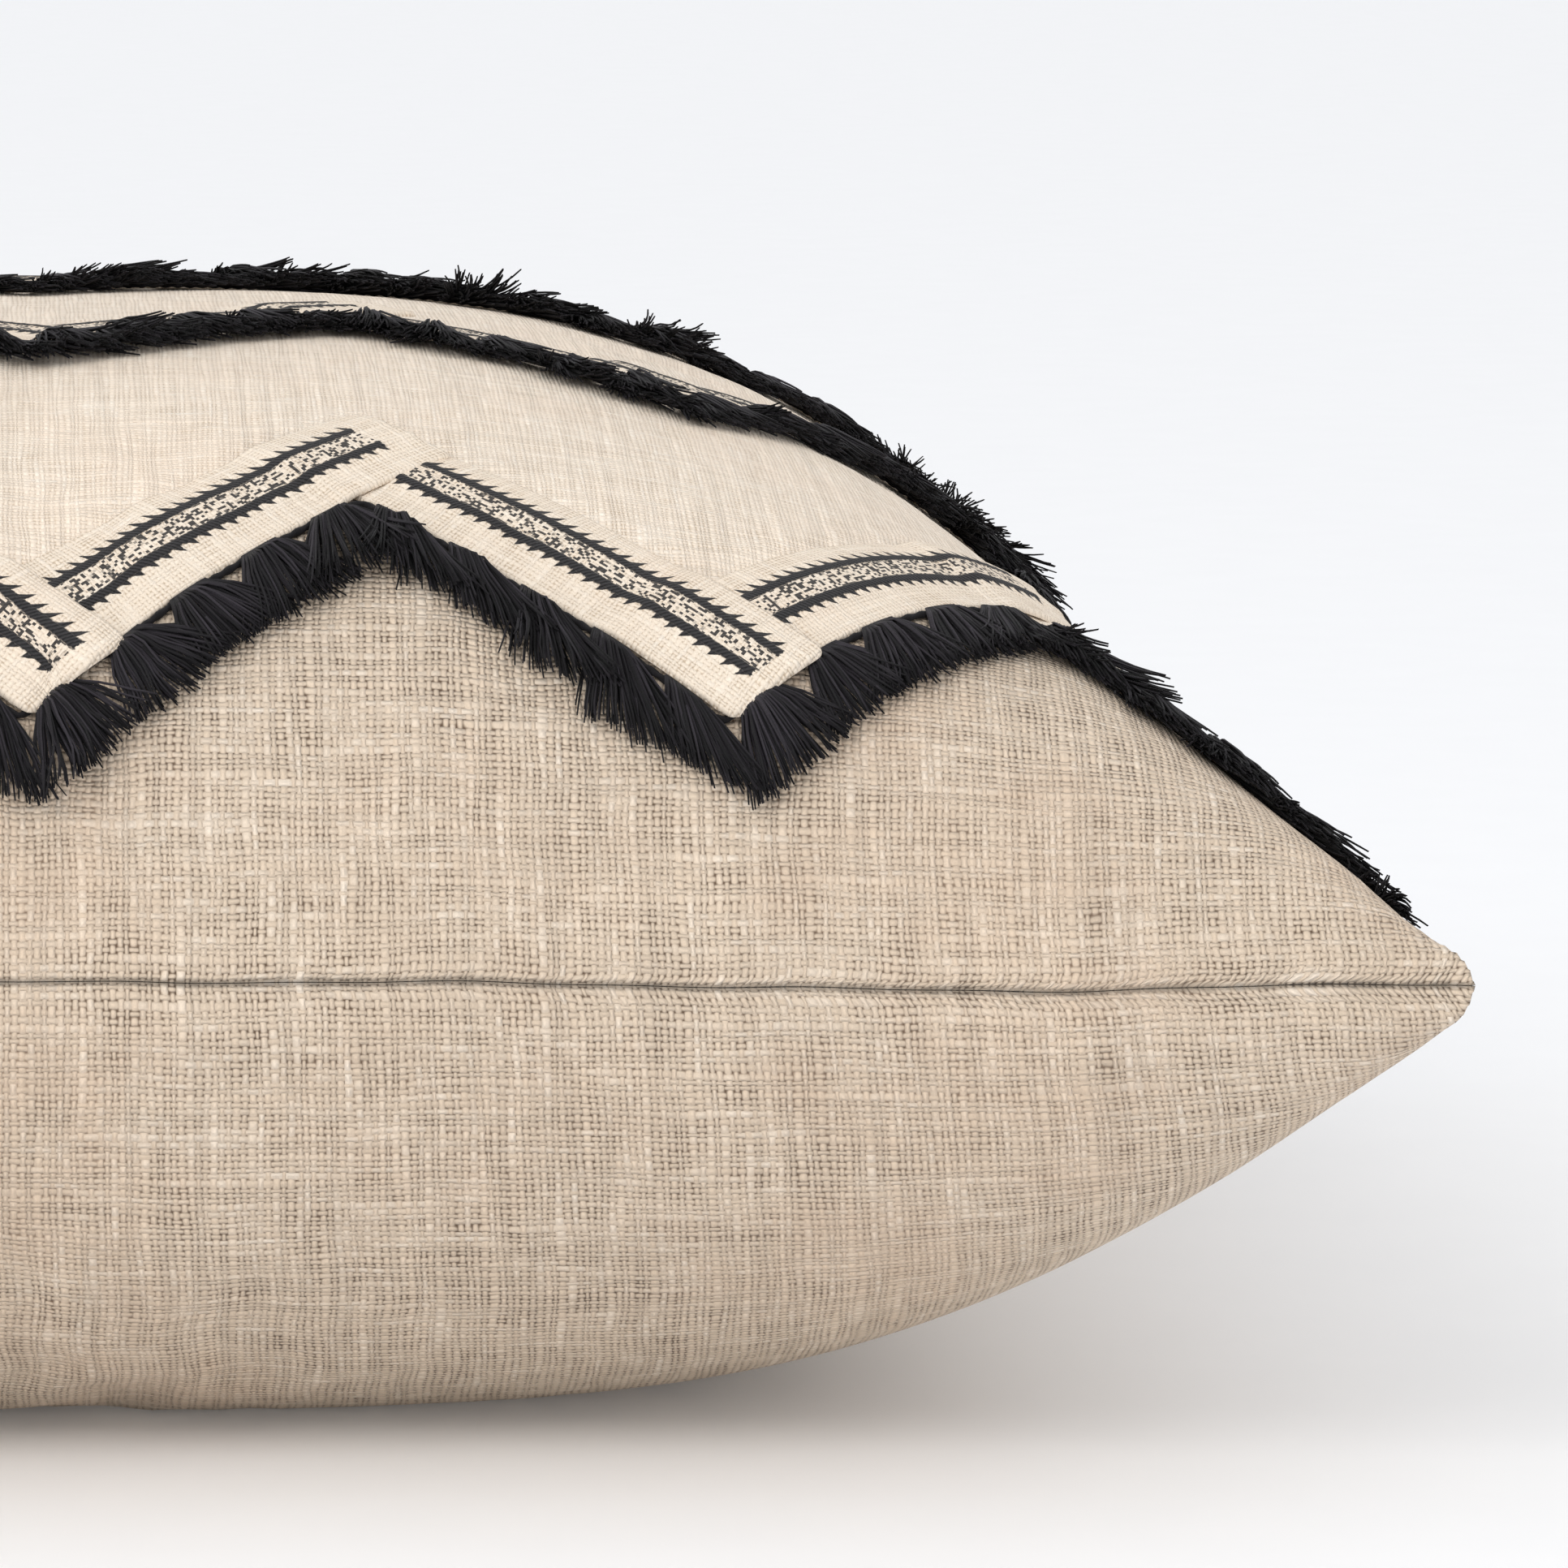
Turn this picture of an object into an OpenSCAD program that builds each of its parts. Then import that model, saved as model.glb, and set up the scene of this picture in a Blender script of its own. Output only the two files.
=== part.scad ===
// Square throw pillow, lying flat: a zipped cover over a fibre-filled insert. The front of the
// cover carries a cream overlay with rows of zigzag patterned tape, each edged with tassels.
// Origin: centre of the underside. +Z up, -Y towards the front seam, +Y towards the zip.

/* [Cover] */
// Side of the flat cover, seam to seam
cover_size = 508; // [480:2:540]
// How far the filling draws each corner in from the flat cover
corner_draw = 9; // [4:1:14]
// How far the filling draws the middle of each plain side in
edge_draw = 29; // [22:1:32]
// How far it draws the middle of the zipped side in, where the zip holds the seam straight
zip_draw = 16; // [12:1:18]
// Height of the seam above the surface that the pillow lies on
seam_height = 91; // [84:1:98]
// Rise of the crown above the seam
crown_rise = 98; // [90:1:106]
// Thickness of the cover cloth
cloth = 1.2; // [1:0.1:1.4]

/* [Overlay and trimming] */
// Thickness of the overlay cloth
overlay_cloth = 0.8; // [0.6:0.1:1]
// Width of the patterned tape
tape_width = 24; // [20:1:26]
// Thickness of the patterned tape
tape_thick = 1; // [0.8:0.1:1.2]
// Distance from the front seam to the lower points of the first row
first_row = 39; // [36:1:42]
// Distance between rows
row_pitch = 128; // [120:1:129]
// Height of the zigzag
zigzag_height = 52; // [46:1:54]
// Thickness of the cord that holds the tassels
header_cord = 1.6; // [1.2:0.1:1.8]
// Tassels in a row
tassel_count = 40; // [36:4:44]
// Length of a tassel
tassel_length = 16; // [12:1:18]
// Width of a tassel at its cut end
tassel_spread = 10.5; // [8:0.5:11]

/* [Insert] */
// How far the insert stays inside the cover at its seam
insert_inset = 16; // [15:1:18]
// Thickness of the insert cloth
insert_cloth = 0.8; // [0.6:0.1:1]

/* [Zip] */
// Length of the zip tapes
zip_length = 340; // [320:4:350]
// Travel of the slider
zip_travel = 300; // [260:4:300]
// Opening between the lips of the cover over the zip
lip_gap = 2.2; // [2.2:0.1:2.6]
// Length of the pull
pull_length = 22; // [16:1:24]

/* [Care label] */
// Length of the blank label along the seam
label_length = 40; // [25:1:50]

/* [Hidden] */

flat_half = cover_size / 2;
half = flat_half - corner_draw;

// Form of the filled cover: exponents of the rounded profiles above and below the seam, and
// how full the corners are.
crown_power = 3.2;
crown_bulge = 0.94;
crown_corner = 1.8;
belly_power = 4;
belly_bulge = 0.8;
belly_corner = 1.3;
// Extra depth below the seam that the supporting surface presses flat.
belly_press = 6;
// How much nearer to the seam the cloth lies than an even spacing would put it.
cloth_shift = 0.1;
// Draw of a side, and the exponent of its outline: the zipped side is the straighter one.
plain_side = [edge_draw, 2];
zipped_side = [zip_draw, 6];
// Half of the gap between the two panels along the seam.
seam_gap = 0.15;
lip_power = 8;

// Places of the layers outside the cover, counted outward from its cloth.
overlay_rest = 1.5;
overlay_face = overlay_rest + overlay_cloth;
trim_rest = overlay_face + 1.5;
trim_limit = 0.985;
corner_pucker = 2.4;
corner_reach = 4;

// Zigzag: one period is a quarter of the cover's side.
leg_run = cover_size / 8;
leg_angle = atan(zigzag_height / leg_run);
tape_rise = tape_width / cos(leg_angle);
header_drop = 1.7;
tassel_drop = 3.2;
tassel_root = 3.6;
tassel_thick = 1.8;

// Insert: the distance between its layers and from the cover at the crown.
insert_rest = 3.6;
fill_rest = 0.9;

// Divisions of the curved cloths.
cover_cells = 24;
insert_cells = 14;
overlay_rows = 24;
overlay_columns = 40;
tape_columns = 48;
tape_rows = 3;
header_sides = 6;

// Zip: places across the side of the cover, counted inward from the lips.
zip_side = half - zip_draw;
zip_tape_thick = 0.6;
zip_tape_width = 7.5;
zip_tape_in = 6.4;
coil_depth = 2.4;
coil_in = 5.2;
coil_half_gap = 0.5;
coil_height = 1.8;
coil_back = 0.7;
coil_pitch = 2.4;
coil_margin = 8;
coil_crown = 0.4;
coil_flank = 0.2;
stop_length = 3;
stop_wall = 0.5;
stop_gap = 0.1;
stop_tape_gap = 0.2;
slider_length = 9;
slider_half_height = 3.6;
plate_thick = 1.2;
outer_plate_in = 3.5;
inner_plate_in = 8.1;
flange_thick = 0.6;
flange_depth = 0.9;
post_length = 2.5;
post_thick = 0.7;
neck_width = 2.4;
neck_thick = 1.2;
pin_out = 3.5;
pin_radius = 0.6;
pin_clearance = 0.07;
neck_clearance = 0.4;
eye_radius = 1.5;
ear_gap = 0.2;
ear_thick = 1.5;
head_radius = 1;
head_thick = 0.4;
pull_thick = 1;
pull_hole = 1;
label_gap = 3;
label_depth = 10;
label_thick = 0.5;
round_fn = 32;
closed_x = zip_travel / 2;

linen = [0.80, 0.72, 0.62];
cream = [0.90, 0.86, 0.78];
charcoal = [0.13, 0.12, 0.14];
speckle = [0.42, 0.40, 0.38];
insert_white = [0.95, 0.95, 0.94];
fibre_white = [0.98, 0.98, 0.97];
zip_beige = [0.76, 0.69, 0.60];
zip_metal = [0.66, 0.60, 0.48];

// Rounded profile from 1 at the middle to 0 at the seam.
function profile(t, power, bulge) = pow(max(1 - pow(abs(t), power), 0), bulge);

// Smooth lesser of two profiles, so that the corners stay full.
function lesser(a, b, corner) =
    a * b <= 0 ? 0 : pow(pow(a, -corner) + pow(b, -corner) - 1, -1 / corner);

function crown(u, v) = lesser(
    profile(u, crown_power, crown_bulge), profile(v, crown_power, crown_bulge), crown_corner);
function belly(u, v) = lesser(
    profile(u, belly_power, belly_bulge), profile(v, belly_power, belly_bulge), belly_corner);

// Place along one axis of the cloth point t, with the other cloth coordinate across it.
function spread(t, across, reach, side) =
    t * (reach - side[0] * (1 - pow(abs(across), side[1]))
        + cloth_shift * reach * (1 - t * t) * (1 - across * across));

// Half of the opening between the panels: the seam's gap, and the lips over the zip.
function lips(u, v) =
    seam_gap + (lip_gap / 2 - seam_gap) * pow(max(v, 0), lip_power) * (1 - pow(abs(u), lip_power));

// A point of the upper or lower cloth. u and v run from -1 to 1 over the flat cloth, inset is
// counted inward from the outside of the cover at the seam, and rise_inset at the crown.
function upper(u, v, inset, rise_inset) = [
    spread(u, v, half - inset, plain_side),
    spread(v, u, half - inset, v > 0 ? zipped_side : plain_side),
    seam_height + lips(u, v) + (crown_rise - rise_inset) * crown(u, v)
];

function lower(u, v, inset, rise_inset) = [
    spread(u, v, half - inset, plain_side),
    spread(v, u, half - inset, v > 0 ? zipped_side : plain_side),
    max(rise_inset, seam_height - lips(u, v)
        - (seam_height + belly_press - rise_inset) * belly(u, v))
];

// A point on a layer that lies on the upper cloth, at a height above it. The layers pucker a
// little off the cloth in the corners.
function on_top(u, v, height) =
    upper(u, v, -height, -height) + [0, 0, corner_pucker * pow(u * v, corner_reach)];

// Even steps turned into steps that close up towards both ends.
function eased(s) = sin(180 * (s - 0.5));

// Lower edge of a row of tape, as a cloth coordinate.
function zigzag(u) = 1 - abs((abs(u) * 4) % 2 - 1);
function row_edge(tier, u) =
    (first_row + (tier - 1) * row_pitch + zigzag_height * zigzag(u)) / flat_half - 1;

function trimmed(t) = max(-trim_limit, min(trim_limit, t));

// Closed sheet between two surfaces, each a function of two numbers from 0 to 1.
module sheet(columns, rows, face, back) {
    row = columns + 1;
    side = row * (rows + 1);
    surfaces = [face, back];
    points = [
        for (k = [0, 1]) for (j = [0:rows]) for (i = [0:columns])
            surfaces[k](i / columns, j / rows)
    ];
    // The cells are split along the ridges that run to the corners.
    top = [
        for (j = [0:rows - 1]) for (i = [0:columns - 1])
            let (a = j * row + i, b = a + 1, c = a + row, d = c + 1)
                each (i < columns / 2) == (j < rows / 2)
                    ? [[a, c, d], [a, d, b]]
                    : [[a, c, b], [b, c, d]]
    ];
    bottom = [for (t = top) [t[2] + side, t[1] + side, t[0] + side]];
    rim = concat(
        [for (i = [0:columns - 1]) i],
        [for (j = [0:rows - 1]) j * row + columns],
        [for (i = [0:columns - 1]) rows * row + columns - i],
        [for (j = [0:rows - 1]) (rows - j) * row]
    );
    edge = [
        for (n = [0:len(rim) - 1])
            let (a = rim[n], b = rim[(n + 1) % len(rim)])
                each [[a, b, b + side], [a, b + side, a + side]]
    ];
    polyhedron(points = points, faces = concat(top, bottom, edge));
}

// Upper or lower half of a cover or an insert.
module upper_cloth(cells, inset, rise_inset, thick) {
    sheet(cells, cells,
        function (s, t) upper(eased(s), eased(t), inset, rise_inset),
        function (s, t) upper(eased(s), eased(t), inset + thick, rise_inset + thick));
}

module lower_cloth(cells, inset, rise_inset, thick) {
    sheet(cells, cells,
        function (s, t) lower(eased(s), eased(t), inset + thick, rise_inset + thick),
        function (s, t) lower(eased(s), eased(t), inset, rise_inset));
}

module front_panel() {
    color(linen) upper_cloth(cover_cells, 0, 0, cloth);
}

module back_panel() {
    color(linen) lower_cloth(cover_cells, 0, 0, cloth);
}

// The overlay's lower edge lies under the middle of the first row of tape.
module overlay_panel() {
    across = function (s) trimmed(2 * s - 1);
    start = function (s) row_edge(1, across(s)) + tape_rise / 2 / flat_half;
    along = function (s, t) start(s) + (trim_limit - start(s)) * t;
    color(cream) sheet(overlay_columns, overlay_rows,
        function (s, t) on_top(across(s), along(s, t), overlay_face),
        function (s, t) on_top(across(s), along(s, t), overlay_rest));
}

module zigzag_tape(tier) {
    across = function (s) trimmed(2 * s - 1);
    along = function (s, t) min(trim_limit, row_edge(tier, across(s)) + t * tape_rise / flat_half);
    color(speckle) sheet(tape_columns, tape_rows,
        function (s, t) on_top(across(s), along(s, t), trim_rest + tape_thick),
        function (s, t) on_top(across(s), along(s, t), trim_rest));
}

// Cord along the lower edge of a row of tape.
module fringe_header(tier) {
    radius = header_cord / 2;
    rings = [
        for (i = [0:tape_columns])
            let (u = trimmed(2 * i / tape_columns - 1), v = row_edge(tier, u) - header_drop / flat_half)
                [
                    for (k = [0:header_sides - 1])
                        let (a = 360 * k / header_sides)
                            on_top(u, v + radius * cos(a) / cos(leg_angle) / flat_half,
                                trim_rest + radius + radius * sin(a))
                ]
    ];
    last = tape_columns * header_sides;
    walls = [
        for (i = [0:tape_columns - 1]) for (k = [0:header_sides - 1])
            let (a = i * header_sides + k, b = i * header_sides + (k + 1) % header_sides)
                each [[a, a + header_sides, b + header_sides], [a, b + header_sides, b]]
    ];
    ends = [
        [for (k = [0:header_sides - 1]) k],
        [for (k = [header_sides - 1:-1:0]) last + k]
    ];
    color(charcoal) polyhedron(points = [for (ring = rings) each ring], faces = concat(walls, ends));
}

// One tassel: a wedge of cut threads that spreads towards the front. Its root follows the cord.
function tassel_points(tier, u) = [
    for (end = [0, 1]) for (level = [0, 1]) for (side = [-1, 1])
        let (
            across = u + side * (end == 0 ? tassel_root : tassel_spread) / 2 / flat_half,
            v = row_edge(tier, end == 0 ? across : u) - (tassel_drop + end * tassel_length) / flat_half
        )
            on_top(across, v, trim_rest + level * tassel_thick)
];

tassel_faces = [
    [3, 2, 0], [1, 3, 0], [7, 5, 4], [6, 7, 4], [5, 1, 0], [4, 5, 0],
    [7, 6, 2], [3, 7, 2], [6, 4, 0], [2, 6, 0], [7, 3, 1], [5, 7, 1]
];

module tassels(tier) {
    corners = 8;
    places = [for (n = [0:tassel_count - 1]) (2 * n + 1) / tassel_count - 1];
    color(charcoal) polyhedron(
        points = [for (u = places) each tassel_points(tier, u)],
        faces = [for (n = [0:tassel_count - 1]) for (f = tassel_faces) f + n * corners * [1, 1, 1]]
    );
}

module insert_top_panel() {
    color(insert_white) upper_cloth(insert_cells, insert_inset, insert_rest, insert_cloth);
}

module insert_bottom_panel() {
    color(insert_white) lower_cloth(insert_cells, insert_inset, insert_rest, insert_cloth);
}

module fibre_fill() {
    inset = insert_inset + insert_cloth + fill_rest;
    rise_inset = insert_rest + insert_cloth + fill_rest;
    color(fibre_white) sheet(insert_cells, insert_cells,
        function (s, t) upper(eased(s), eased(t), inset, rise_inset),
        function (s, t) lower(eased(s), eased(t), inset, rise_inset));
}

// Frame of the zip: X along it, Y outward through the lips, Z up from the middle of the seam.
module at_zip() {
    translate([0, zip_side, seam_height]) children();
}

module zip_tape() {
    translate([-zip_length / 2, -zip_tape_in - zip_tape_thick / 2, coil_half_gap + coil_height])
        cube([zip_length, zip_tape_thick, zip_tape_width]);
}

module zip_tape_upper() {
    color(zip_beige) at_zip() zip_tape();
}

module zip_tape_lower() {
    color(zip_beige) at_zip() mirror([0, 0, 1]) zip_tape();
}

// Outline of the coil's teeth, seen through the lips.
module coil_outline() {
    count = floor((zip_length - 2 * coil_margin) / coil_pitch);
    start = -count * coil_pitch / 2;
    root = coil_half_gap + coil_height - coil_back;
    outer = coil_half_gap + coil_height;
    teeth = [
        for (n = [0:count - 1])
            let (x = start + n * coil_pitch)
                each [
                    [x, root],
                    [x + coil_pitch * coil_flank, coil_half_gap],
                    [x + coil_pitch * (coil_flank + coil_crown), coil_half_gap],
                    [x + coil_pitch * (2 * coil_flank + coil_crown), root]
                ]
    ];
    polygon(concat([[start, outer]], teeth, [[-start, root], [-start, outer]]));
}

module zip_coil() {
    translate([0, -coil_in, 0])
        rotate([90, 0, 0])
            linear_extrude(height = coil_depth)
                coil_outline();
}

module zip_coil_upper() {
    color(zip_beige) at_zip() zip_coil();
}

module zip_coil_lower() {
    color(zip_beige) at_zip() mirror([0, 0, 1]) zip_coil();
}

// A stop is a staple that grips both coils just past the end of the slider's travel.
module zip_stop(side) {
    outer = coil_half_gap + coil_height + stop_gap + stop_wall;
    leg = zip_tape_in - zip_tape_thick / 2 - stop_tape_gap - coil_in + stop_gap;
    start = zip_travel / 2 + slider_length / 2 + stop_gap;
    at_zip() mirror([side < 0 ? 1 : 0, 0, 0]) translate([start, -coil_in + stop_gap, 0]) {
        translate([0, 0, -outer])
            cube([stop_length, stop_wall, 2 * outer]);
        for (leg_side = [0, 1])
            mirror([0, 0, leg_side])
                translate([0, -leg, outer - stop_wall])
                    cube([stop_length, leg, stop_wall]);
    }
}

module zip_top_stop() {
    color(zip_metal) zip_stop(1);
}

module zip_bottom_stop() {
    color(zip_metal) zip_stop(-1);
}

module slider_plate(inward) {
    translate([-slider_length / 2, -inward - plate_thick, -slider_half_height])
        cube([slider_length, plate_thick, 2 * slider_half_height]);
}

module slider_flange(side) {
    translate([
        -slider_length / 2, -outer_plate_in - plate_thick - flange_depth,
        side * (slider_half_height - flange_thick / 2) - flange_thick / 2
    ])
        cube([slider_length, flange_depth, flange_thick]);
}

module zip_slider() {
    span = inner_plate_in - outer_plate_in - plate_thick;
    pin_half = neck_thick / 2 + ear_gap + ear_thick + ear_gap;
    color(zip_metal) at_zip() translate([closed_x, 0, 0]) {
        slider_plate(outer_plate_in);
        slider_plate(inner_plate_in);
        slider_flange(1);
        slider_flange(-1);
        translate([slider_length / 2 - post_length, -inner_plate_in, -post_thick / 2])
            cube([post_length, span, post_thick]);
        translate([-neck_width / 2, -outer_plate_in, -neck_thick / 2])
            cube([neck_width, outer_plate_in + pin_out, neck_thick]);
        translate([0, pin_out, 0]) {
            cylinder(h = neck_thick, r = neck_width / 2, center = true, $fn = round_fn);
            cylinder(h = 2 * pin_half, r = pin_radius, center = true, $fn = round_fn);
            for (side = [-1, 1])
                translate([0, 0, side * (pin_half + head_thick / 2)])
                    cylinder(h = head_thick, r = head_radius, center = true, $fn = round_fn);
        }
    }
}

// The pull lies along the seam and turns on the slider's pin.
module zip_pull() {
    ear_in = neck_thick / 2 + ear_gap;
    width = 2 * (ear_in + ear_thick);
    start = neck_width / 2 + neck_clearance;
    color(zip_metal) at_zip() translate([closed_x, pin_out, 0]) difference() {
        union() {
            for (side = [-1, 1])
                translate([0, 0, side * (ear_in + ear_thick / 2)]) {
                    cylinder(h = ear_thick, r = eye_radius, center = true, $fn = round_fn);
                    translate([-eye_radius, 0, 0])
                        cube([2 * eye_radius, pull_thick, ear_thick], center = true);
                }
            translate([-pull_length + width / 2, -pull_thick / 2, -width / 2])
                cube([pull_length - width / 2 - start, pull_thick, width]);
            translate([-pull_length + width / 2, 0, 0])
                rotate([90, 0, 0])
                    cylinder(h = pull_thick, r = width / 2, center = true, $fn = round_fn);
        }
        cylinder(h = 2 * width, r = pin_radius + pin_clearance, center = true, $fn = round_fn);
        translate([-pull_length + width / 2, 0, 0])
            rotate([90, 0, 0])
                cylinder(h = 2 * pull_thick, r = pull_hole, center = true, $fn = round_fn);
    }
}

// Blank label inside the left seam, between the cover and the insert.
module care_label() {
    color(insert_white)
        translate([label_gap - half + edge_draw, -label_length / 2, seam_height - label_thick / 2])
            cube([label_depth, label_length, label_thick]);
}

front_panel();
back_panel();
overlay_panel();
zigzag_tape(1);  // zigzag_tape_1
zigzag_tape(2);  // zigzag_tape_2
zigzag_tape(3);  // zigzag_tape_3
zigzag_tape(4);  // zigzag_tape_4
fringe_header(1);  // fringe_header_1
fringe_header(2);  // fringe_header_2
fringe_header(3);  // fringe_header_3
fringe_header(4);  // fringe_header_4
tassels(1);  // tassels_1
tassels(2);  // tassels_2
tassels(3);  // tassels_3
tassels(4);  // tassels_4
insert_top_panel();
insert_bottom_panel();
fibre_fill();
zip_tape_upper();
zip_tape_lower();
zip_coil_upper();
zip_coil_lower();
zip_top_stop();
zip_bottom_stop();
zip_slider();
zip_pull();
care_label();
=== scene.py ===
"""Square throw pillow lying flat: a stuffed linen cover with a cream overlay, rows of zigzag
tape with tassels, and a zip in the back seam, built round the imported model."""

import math

import bpy
import numpy as np
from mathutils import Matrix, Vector


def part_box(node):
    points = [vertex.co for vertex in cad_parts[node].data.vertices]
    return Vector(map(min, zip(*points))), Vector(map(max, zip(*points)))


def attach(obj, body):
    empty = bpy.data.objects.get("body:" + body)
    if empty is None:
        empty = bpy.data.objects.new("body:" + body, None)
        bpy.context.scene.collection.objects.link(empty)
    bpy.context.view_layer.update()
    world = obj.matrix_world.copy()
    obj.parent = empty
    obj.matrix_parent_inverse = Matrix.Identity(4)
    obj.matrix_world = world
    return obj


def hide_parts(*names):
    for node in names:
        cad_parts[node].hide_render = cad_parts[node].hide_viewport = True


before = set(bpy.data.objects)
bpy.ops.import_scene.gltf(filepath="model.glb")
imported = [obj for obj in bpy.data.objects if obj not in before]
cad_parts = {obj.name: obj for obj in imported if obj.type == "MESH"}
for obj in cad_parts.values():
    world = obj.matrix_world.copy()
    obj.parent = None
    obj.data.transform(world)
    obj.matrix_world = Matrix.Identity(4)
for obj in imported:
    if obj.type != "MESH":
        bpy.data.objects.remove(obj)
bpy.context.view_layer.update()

scene = bpy.context.scene
MM = 0.001
TAU = 2 * math.pi

# The filled cover's form, as the CAD has it.
FLAT_HALF = 254 * MM
HALF = 245 * MM
SEAM_Z = 91 * MM
CROWN_RISE = 98 * MM
EDGE_DRAW = 29 * MM
ZIP_DRAW = 16 * MM
BELLY_PRESS = 6 * MM
CLOTH_SHIFT = 0.1
SEAM_GAP = 0.08 * MM
LIP_HALF = 1.1 * MM
LIP_POWER = 8
CLOTH = 1.2 * MM

# Zigzag rows.
ROWS = (1, 2, 3, 4)
LEGS = 8
LEG_RUN = 2 * FLAT_HALF / LEGS
ZIGZAG = 52 * MM
FIRST_ROW = 39 * MM
ROW_PITCH = 128 * MM
LEG_ANGLE = math.atan2(ZIGZAG, LEG_RUN)
LEG_COS, LEG_SIN = math.cos(LEG_ANGLE), math.sin(LEG_ANGLE)
LEG_LENGTH = LEG_RUN / LEG_COS
TAPE_WIDTH = 24 * MM
TAPE_RISE = TAPE_WIDTH / LEG_COS
TRIM_LIMIT = 0.985 * FLAT_HALF

# Simulation of the cover.
CELLS = 84
SIM_FRAMES = 20
START_SHARE = 0.985
PINNED = 0.72
SIM_CAP = 5 * MM
CREASE_SHARE = 0.55
BROAD_PASSES = 40
FABRIC = {
    "quality": 6, "mass": 0.08, "tension_stiffness": 15, "compression_stiffness": 15,
    "shear_stiffness": 4, "bending_stiffness": 0.05, "use_pressure": True, "uniform_pressure_force": 4,
}

rng = np.random.default_rng(7)


def linear(*rgb):
    """Scene colour of an 8-bit sRGB colour."""
    c = np.array(rgb) / 255
    low, high = c / 12.92, ((c + 0.055) / 1.055) ** 2.4
    return (*np.where(c <= 0.04045, low, high).tolist(), 1.0)


def smooth(value, start, end):
    """0 before start, 1 after end, with an even turn between them."""
    t = np.clip((value - start) / (end - start), 0, 1)
    return t * t * (3 - 2 * t)


# ---------------------------------------------------------------- form of the cover


def profile(t, power, bulge):
    return np.maximum(1 - np.abs(t) ** power, 0) ** bulge


def lesser(a, b, corner):
    whole = np.maximum(a, 1e-6) ** -corner + np.maximum(b, 1e-6) ** -corner - 1
    return np.where(a * b <= 0, 0, whole ** (-1 / corner))


def spread(t, across, reach, draw, power):
    pulled = reach - draw * (1 - np.abs(across) ** power)
    return t * (pulled + CLOTH_SHIFT * reach * (1 - t * t) * (1 - across * across))


def lips(u, v):
    """Half of the opening between the two panels."""
    zipped = np.maximum(v, 0) ** LIP_POWER * (1 - np.abs(u) ** LIP_POWER)
    return SEAM_GAP + (LIP_HALF - SEAM_GAP) * zipped


def form(u, v, top, inset=0.0, rise_inset=0.0, gap=1.0):
    """Points of the upper or lower cloth at cloth coordinates from -1 to 1."""
    reach = HALF - inset
    x = spread(u, v, reach, EDGE_DRAW, 2)
    y = np.where(v > 0, spread(v, u, reach, ZIP_DRAW, 6), spread(v, u, reach, EDGE_DRAW, 2))
    if top:
        full = lesser(profile(u, 3.2, 0.94), profile(v, 3.2, 0.94), 1.8)
        z = SEAM_Z + gap * lips(u, v) + (CROWN_RISE - rise_inset) * full
    else:
        full = lesser(profile(u, 4, 0.8), profile(v, 4, 0.8), 1.3)
        z = SEAM_Z - gap * lips(u, v) - (SEAM_Z + BELLY_PRESS - rise_inset) * full
        z = np.maximum(z, rise_inset)
    return np.stack([x, y, z], -1)


# ---------------------------------------------------------------- cloth simulation


def quads(index):
    """Quads of a grid of vertex numbers, rows along the second cloth axis."""
    corners = [index[:-1, :-1], index[:-1, 1:], index[1:, 1:], index[1:, :-1]]
    return np.stack(corners, -1).reshape(-1, 4)


def softened(grid, passes):
    """The grid averaged with its neighbours a number of times."""
    for _ in range(passes):
        wide = np.pad(grid, ((1, 1), (1, 1), (0, 0)), mode="edge")
        grid = (wide[:-2, 1:-1] + 2 * grid + wide[2:, 1:-1]) / 4
        wide = np.pad(grid, ((1, 1), (1, 1), (0, 0)), mode="edge")
        grid = (wide[1:-1, :-2] + 2 * grid + wide[1:-1, 2:]) / 4
    return grid


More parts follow.
